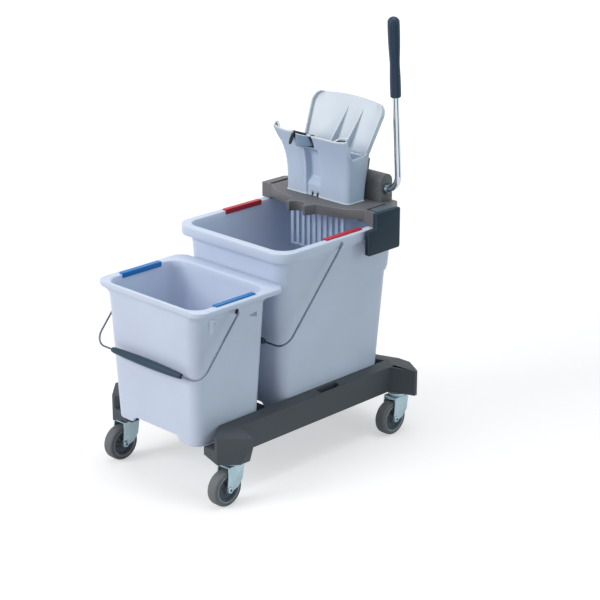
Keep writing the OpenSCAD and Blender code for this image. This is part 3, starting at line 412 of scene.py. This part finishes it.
def pail(node, rim, draft, front_draft, over_side, over_front, over_rear, wall_r, near_r, far_r):
    """Bucket skin: rows from under the floor, up the outer wall, over the rim and down inside. A row lies a
    share of the way from the wall to the rim's edge, at a depth inside the wall and a height above the
    foot, and takes a share of the arch that lifts the front of the foot."""
    thick, sole, base, dish_r, inner_r = 3, 13, 16, 16, 33
    arch_h, arch_run, arch_in, arch_fade = 12, 14, 48, 30
    low, high = (np.array(v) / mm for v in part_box(node))
    tall = high[2] - low[2]
    cove = [(share, 0.0, tall + drop, 0.0) for share, drop in rim]
    wall = [(0.0, 0.0, up, max(0.0, 1 - up / arch_fade)) for up in (1.8, 8, 16, 24, 30, 60, 120, 180, 230)]
    foot = [(0, 20, sole, 0), (0, 6.4, sole, 0), (0, 6, sole - 1, 0.1), (0, 6, 1.5, 0.9), (0, 4.8, 0, 1),
            (0, 1.8, 0, 1), (0, 0.5, 0.5, 1)]
    brink = [(0, 0, tall, 0), (0, 1.2, tall - 0.2, 0), (0, 2.4, tall - 0.9, 0), (0, thick, tall - 2.4, 0)]
    inside = [(0, thick, up, 0) for up in (tall - 16, tall - 60, 200, 120, 50, 34)]
    dish = [(0, thick + dish_r * (1 - math.cos(a)), base + dish_r * (1 - math.sin(a)), 0)
            for a in np.linspace(0.2, np.pi / 2, 6)]
    out, inset, up, give = np.array(foot + wall + cove + brink + inside + dish, float).T
    fall = 1 - up / tall
    radius = (wall_r + (inner_r - wall_r) * np.clip(inset / thick, 0, 1) - draft * fall / 2
              - 0.7 * np.clip(inset - thick, 0, 14))
    walls = (high[0] - over_side - draft * fall - inset, low[1] + over_front + front_draft * fall + inset,
             high[1] - over_rear - draft * fall - inset, radius, radius)
    edges = (high[0], low[1], high[1], near_r, far_r)
    plan = ring_of(*((1 - out) * wall + out * edge for wall, edge in zip(walls, edges)))
    arch_x = high[0] - over_side - draft - arch_in
    in_front = plan[..., 1] < (low[1] + high[1]) / 2
    lift = arch_h * smooth(arch_x - np.abs(plan[..., 0]), 0, arch_run) * in_front
    return np.concatenate([plan, (low[2] + up[:, None] + give[:, None] * lift)[..., None]], -1)


def collar_skin(node, foot, stand, draft, over_side, over_rear, wall_r):
    """Pouring collar on the rear wall: a row follows the wall's outline round the rear corners, moved back
    by the stand times a smooth rise from the foot, and returns inside the wall's own thickness."""
    round_h = 15.0
    low, high = (np.array(v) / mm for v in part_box(node))
    up = foot + np.array([0.0, 2.0, 5.0, 8.0, 11.0, 13.5, round_h, 40.0, 70.0, 96.0, 111.0])
    fall = 1 - up / (high[2] - low[2])
    rise = np.clip((up - foot) / round_h, 0, 1)
    back = stand * np.sqrt(rise * (2 - rise)) * (rise > 0) - 0.5
    front = np.full(len(up), low[1] + 150.0)
    half = high[0] - over_side - draft * fall
    rear = high[1] - over_rear - draft * fall
    radius = wall_r - draft * fall / 2
    round_the_rear = slice(40, 139)
    outer = ring_of(half - 0.4, front, rear + back, radius, radius)[:, round_the_rear]
    inner = ring_of(half - 2.0, front, rear - 2.0, radius, radius)[:, round_the_rear][:, ::-1]
    plan = np.concatenate([outer, inner], 1)
    z = np.broadcast_to((low[2] + up)[:, None, None], plan.shape[:2] + (1,))
    return np.concatenate([plan, z], -1)


def side_wall(node, draft, over_side):
    """Line of a side wall: its x at the brim, its x for each millimetre of height, and the brim's height."""
    low, high = (np.array(v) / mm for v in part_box(node))
    return high[0] - over_side, draft / (high[2] - low[2]), high[2]


def raised(outline, wall, lift, side=1):
    """Low moulded mark on a side wall: an outline in (y, z) that is drawn in as it rises from the wall,
    whose x is a straight line of the height."""
    brim_x, slope, brim_z = wall
    outline = np.asarray(outline, float)
    middle = outline.mean(0)
    share = np.array([1.06, 1.0, 0.94, 0.84])[:, None, None]
    stand = np.array([-0.8, 0.3 * lift, 0.8 * lift, lift])[:, None]
    shape = middle + (outline - middle) * share
    x = side * (brim_x + slope * (shape[..., 1] - brim_z) + stand)
    return np.concatenate([x[..., None], shape], -1)


def bar(y, z, wide, tall):
    """Outline of an upright bar with round ends, anticlockwise in (y, z)."""
    round_by = [min(wide, tall) / 2 - 0.05]
    return ring_of([wide / 2], [z - tall / 2], [z + tall / 2], round_by, round_by, 6, 4)[0] + (y, 0)


pail_grey = moulded("pail_grey", rgba(206, 217, 237), 0.36, 0.025, 0.06, 0.05)
pail_painted_highlight = moulded("pail_painted_highlight", rgba(222, 231, 243), 0.34, 0.02, 0.06, 0.04)
pail_shade = moulded("pail_shade", rgba(158, 166, 182), 0.4, 0.03, 0.06, 0.05)
# Near-black finish for pieces that are painted shade, set where only shade falls.
shade = moulded("dark_shade", rgba(22, 28, 38), 0.6, 0.08, 0.2, 0.03)
pivots = {joint["name"]: np.array(joint["pos_m"][1:]) / mm for joint in frame["joints"]
          if joint["type"] == "hinge"}

small_rim = [(0.0, -30), (0.03, -26), (0.1, -22), (0.22, -18.5), (0.42, -15.4), (0.68, -13), (0.88, -11.4),
             (0.96, -10.6), (1.0, -9), (1.0, -2.6), (0.97, -1.2), (0.9, -0.3), (0.8, 0.0)]
small_taper = dict(draft=16, over_side=18)
small = pail("small_bucket", small_rim, **small_taper, front_draft=11.5, over_front=5.5, over_rear=30,
             wall_r=30, near_r=25, far_r=25)
small_wall = side_wall("small_bucket", **small_taper)
small_pivot = pivots["small_bail_swing"]
boss_x = small_wall[0] - 2.0
boss = [(7.6, 0.0), (7.0, 2.4), (6.5, 6.6), (6.1, 16.5), (5.6, 17.2), (2.3, 17.4)]
# Near-black rings at the bosses' ends are painted shade for the holes that the bail hooks go into.
hole_shade = [(2.2, 17.0), (5.2, 17.0), (5.3, 17.4), (5.0, 17.7), (2.2, 17.7), (2.2, 17.0)]
bosses, hole_shades = ([turned(profile, (side * boss_x, *small_pivot), (side, 0, 0), 28) for side in (-1, 1)]
                for profile in (boss, hole_shade))
show(cast("small_pail", pail_grey, small, *bosses), "small_bucket", "bucket_plastic", "small_bucket")
hook_bar = [(-256.0, 391.0), (-248.0, 391.6), (-241.5, 388.0), (-238.0, 381.0), (-241.5, 380.4),
            (-245.5, 385.6), (-251.0, 387.4), (-256.0, 387.0)]
# The side marks are painted paler than the pail: a painted highlight on marks of the same plastic.
marks = [raised(bar(-254.8, 377.6, 9.0, 32.0), small_wall, 3.6), raised(hook_bar, small_wall, 3.0)]
show(cast("side_marks", pail_painted_highlight, *marks), "small_bucket", "bucket_plastic")
# The pour pointer is painted darker than the pail: painted shade, as on a sunken mark.
pointer = [(-151.0, 373.5), (-140.0, 375.8), (-129.0, 378.0), (-128.4, 372.0), (-128.0, 366.0),
           (-139.5, 369.8)]
show(cast("pour_mark", pail_shade, raised(pointer, small_wall, 0.7)), "small_bucket", "bucket_plastic")
# The bail holes' painted shade.
show(cast("small_hole_shades", shade, *hole_shades), "small_bucket", "slate_plastic")

large_rim = [(0.0, -36), (0.04, -31), (0.14, -27), (0.3, -24.6), (0.5, -23), (0.86, -22), (0.95, -21.5),
             (1.0, -19.6), (1.0, -2.8), (0.97, -1.3), (0.9, -0.3), (0.8, 0.0)]
large_taper = dict(draft=24, over_side=15)
large_rear = dict(over_rear=25, wall_r=36)
large = pail("large_bucket", large_rim, **large_taper, **large_rear, front_draft=18, over_front=15,
             near_r=40, far_r=53)
large_wall = side_wall("large_bucket", **large_taper)
large_pivot = pivots["large_bail_swing"]
rib_bars = [bar(152.0, 452.0, 7.0, 36.0), bar(171.5, 446.0, 4.0, 40.0), bar(179.5, 440.0, 4.0, 36.0)]
ribs = [raised(outline, large_wall, 1.6, side) for side in (-1, 1) for outline in rib_bars]
collar = collar_skin("large_bucket", foot=248, stand=10, **large_taper, **large_rear)
show(cast("large_pail", pail_grey, large, collar, *ribs), "large_bucket", "bucket_plastic", "large_bucket")

# Rim clips: coloured strips snapped over the side rims, blue on the clean pail and red on the rinsing one.
# Each has a flat top on the flange and a skirt that hangs inside the wall.


def clip_skin(node):
    """L-shaped section carried along the rim, with its ends drawn in a little."""
    skirt, under = 1.3, 2.95
    low, high = (np.array(v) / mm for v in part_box(node))
    side = 1 if low[0] > 0 else -1
    inner = low[0] if side > 0 else high[0]
    wide, long, tall = high - low
    section = np.array([(0, 0.8), (0.4, 0.1), (0.9, 0.1), (skirt, 0.8), (skirt, tall - under - 0.25),
                        (skirt + 0.7, tall - under), (wide - 0.7, tall - under), (wide, tall - 2.3),
                        (wide, tall - 0.9), (wide - 0.9, tall), (0.9, tall), (0, tall - 0.9)])
    middle = section.mean(0)
    station = np.array([0.0, 0.5, 1.5, long - 1.5, long - 0.5, long])
    draw_in = np.array([0.9, 0.97, 1.0, 1.0, 0.97, 0.9])[:, None, None]
    shape = middle + (section - middle) * draw_in
    y = np.broadcast_to((low[1] + station)[:, None], shape.shape[:2])
    return np.stack([inner + side * shape[..., 0], y, low[2] + shape[..., 1]], -1)


clip_blue = moulded("clip_blue", rgba(0, 116, 190), 0.35, 0.05, 0.08, 0.05)
clip_red = moulded("clip_red", rgba(190, 24, 46), 0.35, 0.05, 0.08, 0.05)
for pail_name, slot, paint in (("small", "blue_plastic", clip_blue), ("large", "red_plastic", clip_red)):
    for hand in ("left", "right"):
        node = pail_name + "_clip_" + hand
        show(cast(node + "_strip", paint, clip_skin(node)), pail_name + "_bucket", slot, node)

# Bails: bright steel wire, hooked into the pail's two bosses and bent square round the front, with a slate
# plastic grip moulded on its middle. They swing freely on their hooks.


def tube(path, radius, across, sides=14):
    """Round section carried along a path. Each ring lies across the path, turned to a given direction."""
    path = np.asarray(path, float)
    along = np.gradient(path, axis=0)
    along /= np.linalg.norm(along, axis=1, keepdims=True)
    across = np.broadcast_to(np.asarray(across, float), path.shape)
    across = across - (across * along).sum(1, keepdims=True) * along
    across = across / np.linalg.norm(across, axis=1, keepdims=True)
    upright = np.cross(along, across)
    angle = np.linspace(0, 2 * np.pi, sides, endpoint=False)[None, :, None]
    radius = np.broadcast_to(np.asarray(radius, float), len(path))[:, None, None]
    return path[:, None] + radius * (np.cos(angle) * across[:, None] + np.sin(angle) * upright[:, None])


def bail_path(arm, wall, reach):
    """A bail in its own plane as (x, distance down): the hook, a tight bend, the arm, a wide bend and half of
    the straight middle, then the same mirrored."""
    tight_r, wide_r = 3, 30
    tight = np.linspace(np.pi / 2, 0, 7)[:, None]
    wide = np.linspace(0, np.pi / 2, 14)[:, None]
    half = np.concatenate([
        [(wall - 3.6, 0.0), (wall + 4, 0.0), (arm - 8, 0.0)],
        np.hstack([arm - tight_r + tight_r * np.cos(tight), tight_r - tight_r * np.sin(tight)]),
        [(arm, 20.0), (arm, reach * 0.5), (arm, reach - wide_r - 4)],
        np.hstack([arm - wide_r + wide_r * np.cos(wide), reach - wide_r + wide_r * np.sin(wide)]),
        [(arm - wide_r - 6, reach), (60.0, reach)],
    ])
    return np.concatenate([half, (half * (-1, 1))[::-1]])


bright_wire = metal("bright_wire", rgba(108, 116, 127), 0.2, 0.1, 0.12)
grip_slate = moulded("grip_slate", rgba(45, 66, 86), 0.4, 0.08, 0.2, 0.08, 1.32)
wire_r, grip_half, grip_r, grip_swell = 2.0, 104.0, 6.0, 2.75
lens = np.linspace(-1, 1, 41)
swell = grip_r + grip_swell * (1 - lens ** 2) - np.where(np.abs(lens) > 0.97, 0.7, 0.0)
grip = [(wire_r, -grip_half), (4.4, -grip_half), *zip(swell, (grip_half - 0.6) * lens), (4.4, grip_half),
        (wire_r, grip_half)]
for pail_name, pivot, wall, hang, reach in (("small", small_pivot, small_wall, -40.66, 160.0),
                                            ("large", large_pivot, large_wall, -41.69, 250.0)):
    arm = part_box(pail_name + "_bail_wire")[1][0] / mm - wire_r
    swing = math.radians(hang)
    down = np.array((0.0, math.sin(swing), -math.cos(swing)))
    hinge = np.array((0.0, *pivot))
    flat = bail_path(arm, wall[0], reach)
    line = hinge + flat[:, :1] * to_right + flat[:, 1:] * down
    show(cast(pail_name + "_wire", bright_wire, tube(line, wire_r, (0, math.cos(swing), math.sin(swing)))),
         pail_name + "_bail", "bail_steel", pail_name + "_bail_wire")
    show(cast(pail_name + "_grip", grip_slate, turned(grip, hinge + reach * down, to_right, 40)),
         pail_name + "_bail", "grip_plastic", pail_name + "_bail_grip")

# Press bridge: a thick warm grey moulding across the large pail's rim, with a notch at its front for a
# handle to rest in. A slate hook plate hangs on its right end, in a slot, and the left slot is empty. Dark
# strips in both slots are painted shade, and a paler strip on the hook's flange is painted light on its
# top.

bridge_grey = moulded("bridge_grey", rgba(104, 104, 107), 0.5, 0.07, 0.2, 0.08)
# Paler edge finishes for the bridge and the hook plate: partly wear, partly a painted highlight.
bridge_worn_highlit_edge = moulded("bridge_worn_highlit_edge", rgba(122, 121, 123), 0.42, 0.07, 0.12, 0.14)
hook_slate = moulded("hook_slate", rgba(38, 57, 70), 0.48, 0.07, 0.2, 0.08, 1.28)
hook_worn_highlit_edge = moulded("hook_worn_highlit_edge", rgba(46, 60, 72), 0.4, 0.07, 0.12, 0.14)
hook_lit_top = moulded("hook_lit_top", rgba(84, 100, 109), 0.42, 0.07, 0.12, 0.1)
show(softened("bridge_moulding", "press_bridge", 2.0, (bridge_grey, bridge_worn_highlit_edge), 3),
     "press", "bridge_plastic", "press_bridge")
show(softened("hook_plate", "side_hook", 2.2, (hook_slate, hook_worn_highlit_edge), 3),
     "press", "slate_plastic", "side_hook")
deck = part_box("press_bridge")[1][2] / mm
strip_y0, strip_y1 = 190.4, 245.6
# Dark strips in the slots are painted shade; the paler strip on the hook's flange is painted light on its
# top.
for name, paint, x0, x1, base, top in (("groove_right_shade", shade, 139.3, 144.7, -5.0, 1.7),
                                       ("groove_left_shade", hook_slate, -138.7, -129.3, -5.0, -0.2),
                                       ("hook_flange", hook_lit_top, 147.0, 170.5, 1.0, 2.35)):
    strip = [[(x0, strip_y0, deck + up), (x0, strip_y1, deck + up), (x1, strip_y1, deck + up),
              (x1, strip_y0, deck + up)] for up in (base, top)]
    show(cast(name, paint, np.array(strip)), "press", "slate_plastic")

# Hopper: the press's open box, moulded in the pail's plastic. Its front flares forward into two winged tips
# with a channel down the middle, and its back plate leans away behind two ribs. A latch sits in a notch of
# the front's upper edge, two drains are cut in its foot, and a comb of bars hangs under the bridge.

hopper_grey = moulded("hopper_grey", rgba(187, 204, 226), 0.36, 0.025, 0.06, 0.05)
# Pale finish: the back plate's plastic, and a painted highlight on the lips, pins and tongue trim.
hopper_pale_and_highlight = moulded("hopper_pale_and_highlight", rgba(206, 216, 226), 0.36, 0.025, 0.06, 0.05)
latch_blue = moulded("latch_blue", rgba(112, 138, 164), 0.35, 0.04, 0.08, 0.05)
show(softened("back_plate", "hopper_back", 1.1, (hopper_pale_and_highlight,)), "press", "hopper_plastic", "hopper_back")
hopper_front, hopper_rear, hopper_half = 184.02, 243.0, 92.0


def flare(up):
    """How far the front leans forward at a height: nothing up to the bend, then a circle."""
    bend_up, flare_r = 48, 200
    return flare_r - np.sqrt(flare_r ** 2 - np.clip(up - bend_up, 0, 150) ** 2)


def front_sheet(front, half, rear):
    """Hopper sides and front as one sheet, and the direction inwards at each column. Across, it follows the
    left side, a round corner, the front with its sunk channel, and back along the right side. A column
    rises to its own edge: low at the sides, a tip at each wing, and a shallow dip between them. With the
    height the front leans forward by the flare, and the wings spread by a power of the height."""
    corner_r, side_n, side_up, dip_up, tip_up = 11.0, 11, 98, 136, 139
    turn = np.linspace(0, np.pi / 2, 10)
    run = np.linspace(0, 1, side_n, endpoint=False)
    at_side = np.ones(side_n)
    across = np.array([-76, -71, -66, -60, -54, -49, -45, -41, -38, -36.5, -35.5, -34.5, -33.5, -32.5, -31.5,
                       -31, -30, -29.2, -27.5, -22, -17.8, -12.4, -8, -3, 2.4, 6.6, 7.6, 8.2, 9.2, 10, 11,
                       11.5, 13.5, 18, 24, 31, 38, 45, 52, 59, 65, 71, 76])
    corner_x = half - corner_r
    x = np.concatenate([-half * at_side, -corner_x - corner_r * np.cos(turn), across,
                        corner_x + corner_r * np.sin(turn), half * at_side])
    deep = np.concatenate([corner_r * at_side, corner_r * (1 - np.sin(turn)), 0 * across,
                           corner_r * (1 - np.cos(turn)), corner_r * at_side])
    along = np.concatenate([1 - run, 0 * turn, 0 * across, 0 * turn, 1 - run[::-1]])
    round_by = np.concatenate([at_side, 1 - turn / turn[-1], 0 * across, turn / turn[-1], at_side])
    inward = np.stack([-np.sign(x) * np.sin(round_by * np.pi / 2), np.cos(round_by * np.pi / 2)], -1)
    dip = dip_up + 3 * smooth(np.abs(x), 62, corner_x)
    tip = tip_up + 4 * smooth(round_by, 0, 0.3) - 45 * smooth(round_by, 0.3, 1)
    edge = np.where(along > 0, side_up + 6 * smooth(along, 0.75, 1), np.where(round_by > 0, tip, dip))
    level = np.array([0, 4, 8.6, 14, 20, 26, 29, 33, 37, 40, 44, 48, 54, 60, 66, 72, 78, 84, 90, 95, 98, 101,
                      104, 107, 109, 114, 120, 126, 132, 137])
    up = (level / level[-1])[:, None] * edge
    sunk = np.interp(x, [-49, -41, -36.5, -34.5, -32.5, -31, -29.2, -27.5, 6.6, 8.2, 10, 11.5, 13.5],
                     [0, 0.05, 0.1, 0.03, 0, 0.08, 0.9, 1, 1, 0.9, 0.1, 0.02, 0])
    sunk = sunk * np.interp(up, [0, 26, 40, 96, 107], [4, 4, 14, 14, 0]) * (round_by == 0)
    opened = 1 - smooth(up, 90, 130)
    outer = np.clip((np.abs(x) - 35) / 50, 0, 1) * (1 - along)
    spread = 20 * (np.clip(up - 20, 0, None) / 125) ** 1.8 * outer
    back = rear - 11 * np.clip(1 - up / side_up, 0, 1) + 0.456 * np.clip(up - side_up, 0, None)
    depth = front + deep * opened + sunk - flare(up) * (1 - along)
    depth = np.where(along > 0, depth + along * (back - depth), depth)
    return np.stack([x + np.sign(x) * spread, depth, up], -1), inward


def pressed(name, finish, grid, keep, thick):
    """Sheet of the kept cells of a grid, in millimetres, thickened inwards."""
    mesh = bpy.data.meshes.new(name)
    rows, columns = grid.shape[:2]
    mesh.from_pydata((grid.reshape(-1, 3) * mm).tolist(), [], grid_faces(rows, columns, False)[keep].tolist())
    shape = bmesh.new()
    shape.from_mesh(mesh)
    bmesh.ops.delete(shape, geom=[v for v in shape.verts if not v.link_faces], context="VERTS")
    shape.to_mesh(mesh)
    shape.free()
    mesh.polygons.foreach_set("use_smooth", np.ones(len(mesh.polygons), bool))
    mesh.set_sharp_from_angle(angle=math.radians(50))
    mesh.materials.append(finish)
    obj = bpy.data.objects.new(name, mesh)
    wall = obj.modifiers.new("wall", "SOLIDIFY")
    wall.thickness = thick * mm
    wall.offset = -1
    return obj


grid, inward = front_sheet(hopper_front, hopper_half, hopper_rear)
grid[..., 2] += deck
foot_x = grid[0, :, 0]
notch_x0, notch_x1, notch_up = -49.0, 2.4, 109.0
drains, drain_up = ((-17.8, -12.4), (-3.0, 2.4)), 8.6


def column(at):
    """Number of the column whose foot is nearest to an x."""
    return int(np.argmin(np.abs(foot_x - at)))


def inside(columns):
    """Directions inwards at some columns, level."""
    return np.hstack([inward[columns], np.zeros((len(inward[columns]), 1))])


cell_x = (foot_x[1:] + foot_x[:-1]) / 2
front_z = grid[:, column(0.0), 2]
cell_up = ((front_z[1:] + front_z[:-1]) / 2 - deck)[:, None]
on_front = (inward[1:, 1] > 0.999) & (inward[:-1, 1] > 0.999)
cut = on_front & (cell_x > notch_x0) & (cell_x < notch_x1) & (cell_up > notch_up)
for x0, x1 in drains:
    cut |= on_front & (cell_x > x0) & (cell_x < x1) & (cell_up < drain_up)
show(pressed("front_shell", hopper_grey, grid, ~cut, 3.0), "press", "hopper_plastic", "hopper_front")


def crook(side, start):
    """Way of a wing's crooked tip: the brim's points beyond an x, the directions inwards there, and an arch
    that is a power of a sine of the way along."""
    wing_up = 135
    ends = np.flatnonzero((side * grid[-1, :, 0] > start) & (grid[-1, :, 2] > deck + wing_up))
    way = np.linspace(0, np.pi, len(ends))[:, None]
    return grid[-1, ends], inside(ends), np.sin(way) ** 0.4


brim = grid[-1] + 1.5 * inside(slice(None))
brim_r = 1.6 + 0.7 * (inward[:, 1] > 0.8)
slant = np.array((0.35, 0.2, 1.0))
foot_run = grid[0] + (0, 0, 1.4)
notch_left, notch_right = column(notch_x0), column(notch_x1)
(left_0, left_1), (right_0, right_1) = ((column(x0), column(x1)) for x0, x1 in drains)
# The rolled lips and foot beads are real; their paler finish is a painted highlight along them.
lips = [tube(brim[:notch_left + 1], brim_r[:notch_left + 1], slant, 12),
        tube(brim[notch_right:], brim_r[notch_right:], slant, 12)]
lips += [tube(run, 1.8, slant, 10)
         for run in (foot_run[:left_0 + 1], foot_run[right_1:], foot_run[left_1:right_0 + 1])]
# Dark slits in the wing tips are painted shade, for the shaded hollow inside each tip.
slit_shades = []
for side, start in ((-1, 86), (1, 66)):
    line, within, arch = crook(side, start)
    lips.append(tube(line + within * (1.5 + 5.5 * arch) + (0, 0, 9.0) * arch, 2.2, slant, 12))
    slit_shades.append(tube(line + within * (1.5 + 3.5 * arch) + (0, 0, 4.2) * arch, 1.5, slant, 10))
show(cast("rolled_lip", hopper_pale_and_highlight, *lips), "press", "hopper_plastic")
show(cast("lip_slit_shades", shade, *slit_shades), "press", "slate_plastic")


def pocket_skin(x0, x1, z0, z1, gap, thick):
    """Block behind the front wall, for painted shade in an opening: a rectangle in plan, carried up along the
    flare.
    """
    up = np.linspace(z0, z1, 9)
    near = hopper_front + gap - flare(up)
    x = np.broadcast_to(np.array([x0, x1, x1, x0]), (len(up), 4))
    y = np.stack([near, near, near + thick, near + thick], -1)
    return np.stack([x, y, np.broadcast_to((deck + up)[:, None], (len(up), 4))], -1)


def tongue_skin(x0, x1, z0, z1, front, thick):
    """Upright tongue: in plan a bow in front and a straight back, drawn in at the foot and the top. Towards
    its foot it spreads to the right, and its lower edge rises to the right."""
    bow, spread, rise = 8.0, 10, 8
    around = np.linspace(0, np.pi, 21)
    x = np.concatenate([-np.cos(around), [0.97, -0.97]])
    y = np.concatenate([-bow * np.sin(around) ** 0.8, [thick, thick]])
    up = np.array([z0, z0 + 0.7, z0 + 2.4, z0 + 6, z1 - 5, z1 - 2.0, z1 - 0.6, z1])[:, None]
    draw_in = np.array([0.9, 0.96, 0.99, 1.0, 1.0, 0.985, 0.95, 0.9])[:, None]
    skew = (z1 - up) / (z1 - z0) * (1 + x) / 2
    plan_x = (x0 + x1) / 2 + (x1 - x0) / 2 * x * draw_in + spread * skew
    plan_y = front + bow + y * draw_in
    return np.stack([plan_x, plan_y, deck + up + rise * skew], -1)


def shade_oval_skin(x, up, lean, long, wide):
    """Long oval of painted shade on the front wall, leaning as it rises, following the flare and standing a
    little proud.
    """
    around = np.linspace(0, 2 * np.pi, 28, endpoint=False)
    share = np.array([1.0, 1.0, 0.9])[:, None]
    stand = np.array([2.0, -0.3, -0.6])[:, None]
    rise = share * long / 2 * np.cos(around)
    across = x + lean * rise + share * wide / 2 * np.sign(np.sin(around)) * np.abs(np.sin(around)) ** 0.7
    return np.stack([across, hopper_front - flare(up + rise) + stand, deck + up + rise], -1)


# Dark blocks behind the latch's notch and the drains, and a dark oval left of the latch, are painted shade.
shade_pockets = [pocket_skin(-56.0, 6.0, 107.0, 139.5, gap=3.1, thick=5.0),
           shade_oval_skin(-62.0, 119.0, lean=0.7, long=30.0, wide=10.5)]
shade_pockets += [pocket_skin(x0 - 1.2, x1 + 1.2, 0.4, 11.0, gap=7.2, thick=1.6) for x0, x1 in drains]
show(cast("latch_pocket_shade", shade, *shade_pockets, sharp=30), "press", "slate_plastic")
# The latch pins' paler finish is a painted highlight, as light spots at the notch's ends.
pin = [(1.2, 0.0), (2.4, 0.0), (2.6, 0.3), (2.6, 9.7), (2.4, 10.0), (1.2, 10.0)]
pins = [turned(pin, (x, 162.6, deck + 138.6), to_right, 20) for x in (-59.0, -7.5)]
show(cast("latch_pins", hopper_pale_and_highlight, *pins), "press", "hopper_plastic")
tongue = tongue_skin(-47.0, -9.0, 107.0, 136.0, front=161.5, thick=11.0)
show(cast("latch_tongue", latch_blue, tongue), "press", "latch_plastic", "latch_tab")
# Pale trim along the tongue's left and top edges: a painted highlight.
left_edge, top_edge = tongue[1:-1, 0], tongue[-2, 1:18]
highlight_trim = np.concatenate([left_edge, top_edge])
show(cast("tongue_highlight_trim", hopper_pale_and_highlight, tube(highlight_trim, 0.9, (0.3, 1.0, 0.4), 8)), "press", "hopper_plastic")
show(softened("strainer_bars", "strainer_comb", 1.2, (hopper_grey,)),
     "press", "hopper_plastic", "strainer_comb")
show(softened("squeeze_plate", "press_plate", 1.6, (hopper_grey,)),
     "press_plate", "hopper_plastic", "press_plate")

# Lever works: a housing screwed to the bridge carries the steel shaft in two bushes. Two cams on the shaft
# push the squeeze plate, and a spring round it brings the lever back up.

chrome = metal("chrome_rod", rgba(206, 215, 221), 0.06, 0.03, 0.05)
dark_steel = metal("dark_steel", rgba(112, 130, 140), 0.34, 0.1, 0.1)
show(softened("shaft_housing", "shaft_cover", 1.6, (bridge_grey, bridge_worn_highlit_edge), 3),
     "press", "bridge_plastic", "shaft_cover")
show(softened("housing_screws", "cover_screws", 0.5, (zinc,)), "press", "zinc_steel", "cover_screws")
for hand in ("left", "right"):
    show(softened("bush_" + hand, "shaft_bush_" + hand, 0.5, (nylon,)),
         "press", "hub_plastic", "shaft_bush_" + hand)
    show(softened("cam_block_" + hand, "cam_" + hand, 0.6, (nylon,)), "lever", "hub_plastic", "cam_" + hand)
show(softened("shaft_bar", "lever_shaft", 0.8, (dark_steel,)), "lever", "chrome_steel", "lever_shaft")
shaft_low, shaft_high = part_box("lever_shaft")
shaft = np.array((shaft_low + shaft_high) / 2) / mm * (0, 1, 1)
coil_r, coil_half, coil_wire_r, coil_turns = 11.8, 26.4, 1.1, 21
wind = np.linspace(0, 2 * np.pi * coil_turns, coil_turns * 24)
radial = np.stack([np.zeros_like(wind), np.cos(wind), np.sin(wind)], -1)
coil = shaft + coil_r * radial + np.linspace(-coil_half, coil_half, len(wind))[:, None] * to_right
show(cast("spring_coil", zinc, tube(coil, coil_wire_r, radial, 8)), "press", "zinc_steel", "return_spring")

# Lever: a chromed rod pushed into the shaft's end and bent upwards, with a waisted slate grip on top. It is
# pulled forward and down to press.

lean = math.radians(4)
rise = np.array((0.0, -math.sin(lean), math.cos(lean)))
rod_r, bend_r, rod_top = 7.0, 36.0, 358.0
rod_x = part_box("lever_rod")[1][0] / mm - rod_r
lever_h, handle_h, handle_r, dome_h = 375, 169, 12.75, 12
sweep = np.linspace(0, np.pi / 2, 16)[:, None]
bend = np.concatenate([[(110.5, 0.0), (116.0, 0.0), (120.0, 0.0)],
                       np.hstack([rod_x - bend_r + bend_r * np.sin(sweep), bend_r - bend_r * np.cos(sweep)]),
                       [(rod_x, bend_r + 6), (rod_x, 120.0), (rod_x, 200.0), (rod_x, rod_top)]])
rod = shaft + bend[:, :1] * to_right + bend[:, 1:] * rise
show(cast("bent_rod", chrome, tube(rod, rod_r, (0, math.cos(lean), math.sin(lean)), 28)),
     "lever", "chrome_steel", "lever_rod")
handle = [(rod_r, 0.0), (9.6, 0.0), (10.8, 0.8), (11.3, 2.4), (11.5, 20.0), (11.4, 40.0), (10.9, 56.0),
          (10.5, 66.0), (10.6, 76.0), (11.2, 88.0), (12.0, 104.0), (12.5, 122.0), (handle_r, 138.0),
          (handle_r, 150.0)]
handle += [(handle_r * math.cos(a), handle_h - dome_h + dome_h * math.sin(a))
           for a in np.linspace(0, np.pi / 2, 9)[1:]]
handle_foot = shaft + np.array((rod_x, 0.0, 0.0)) + (lever_h - handle_h) * rise
show(cast("lever_handle", grip_slate, turned(handle, handle_foot, rise, 48)),
     "lever", "grip_plastic", "lever_grip")
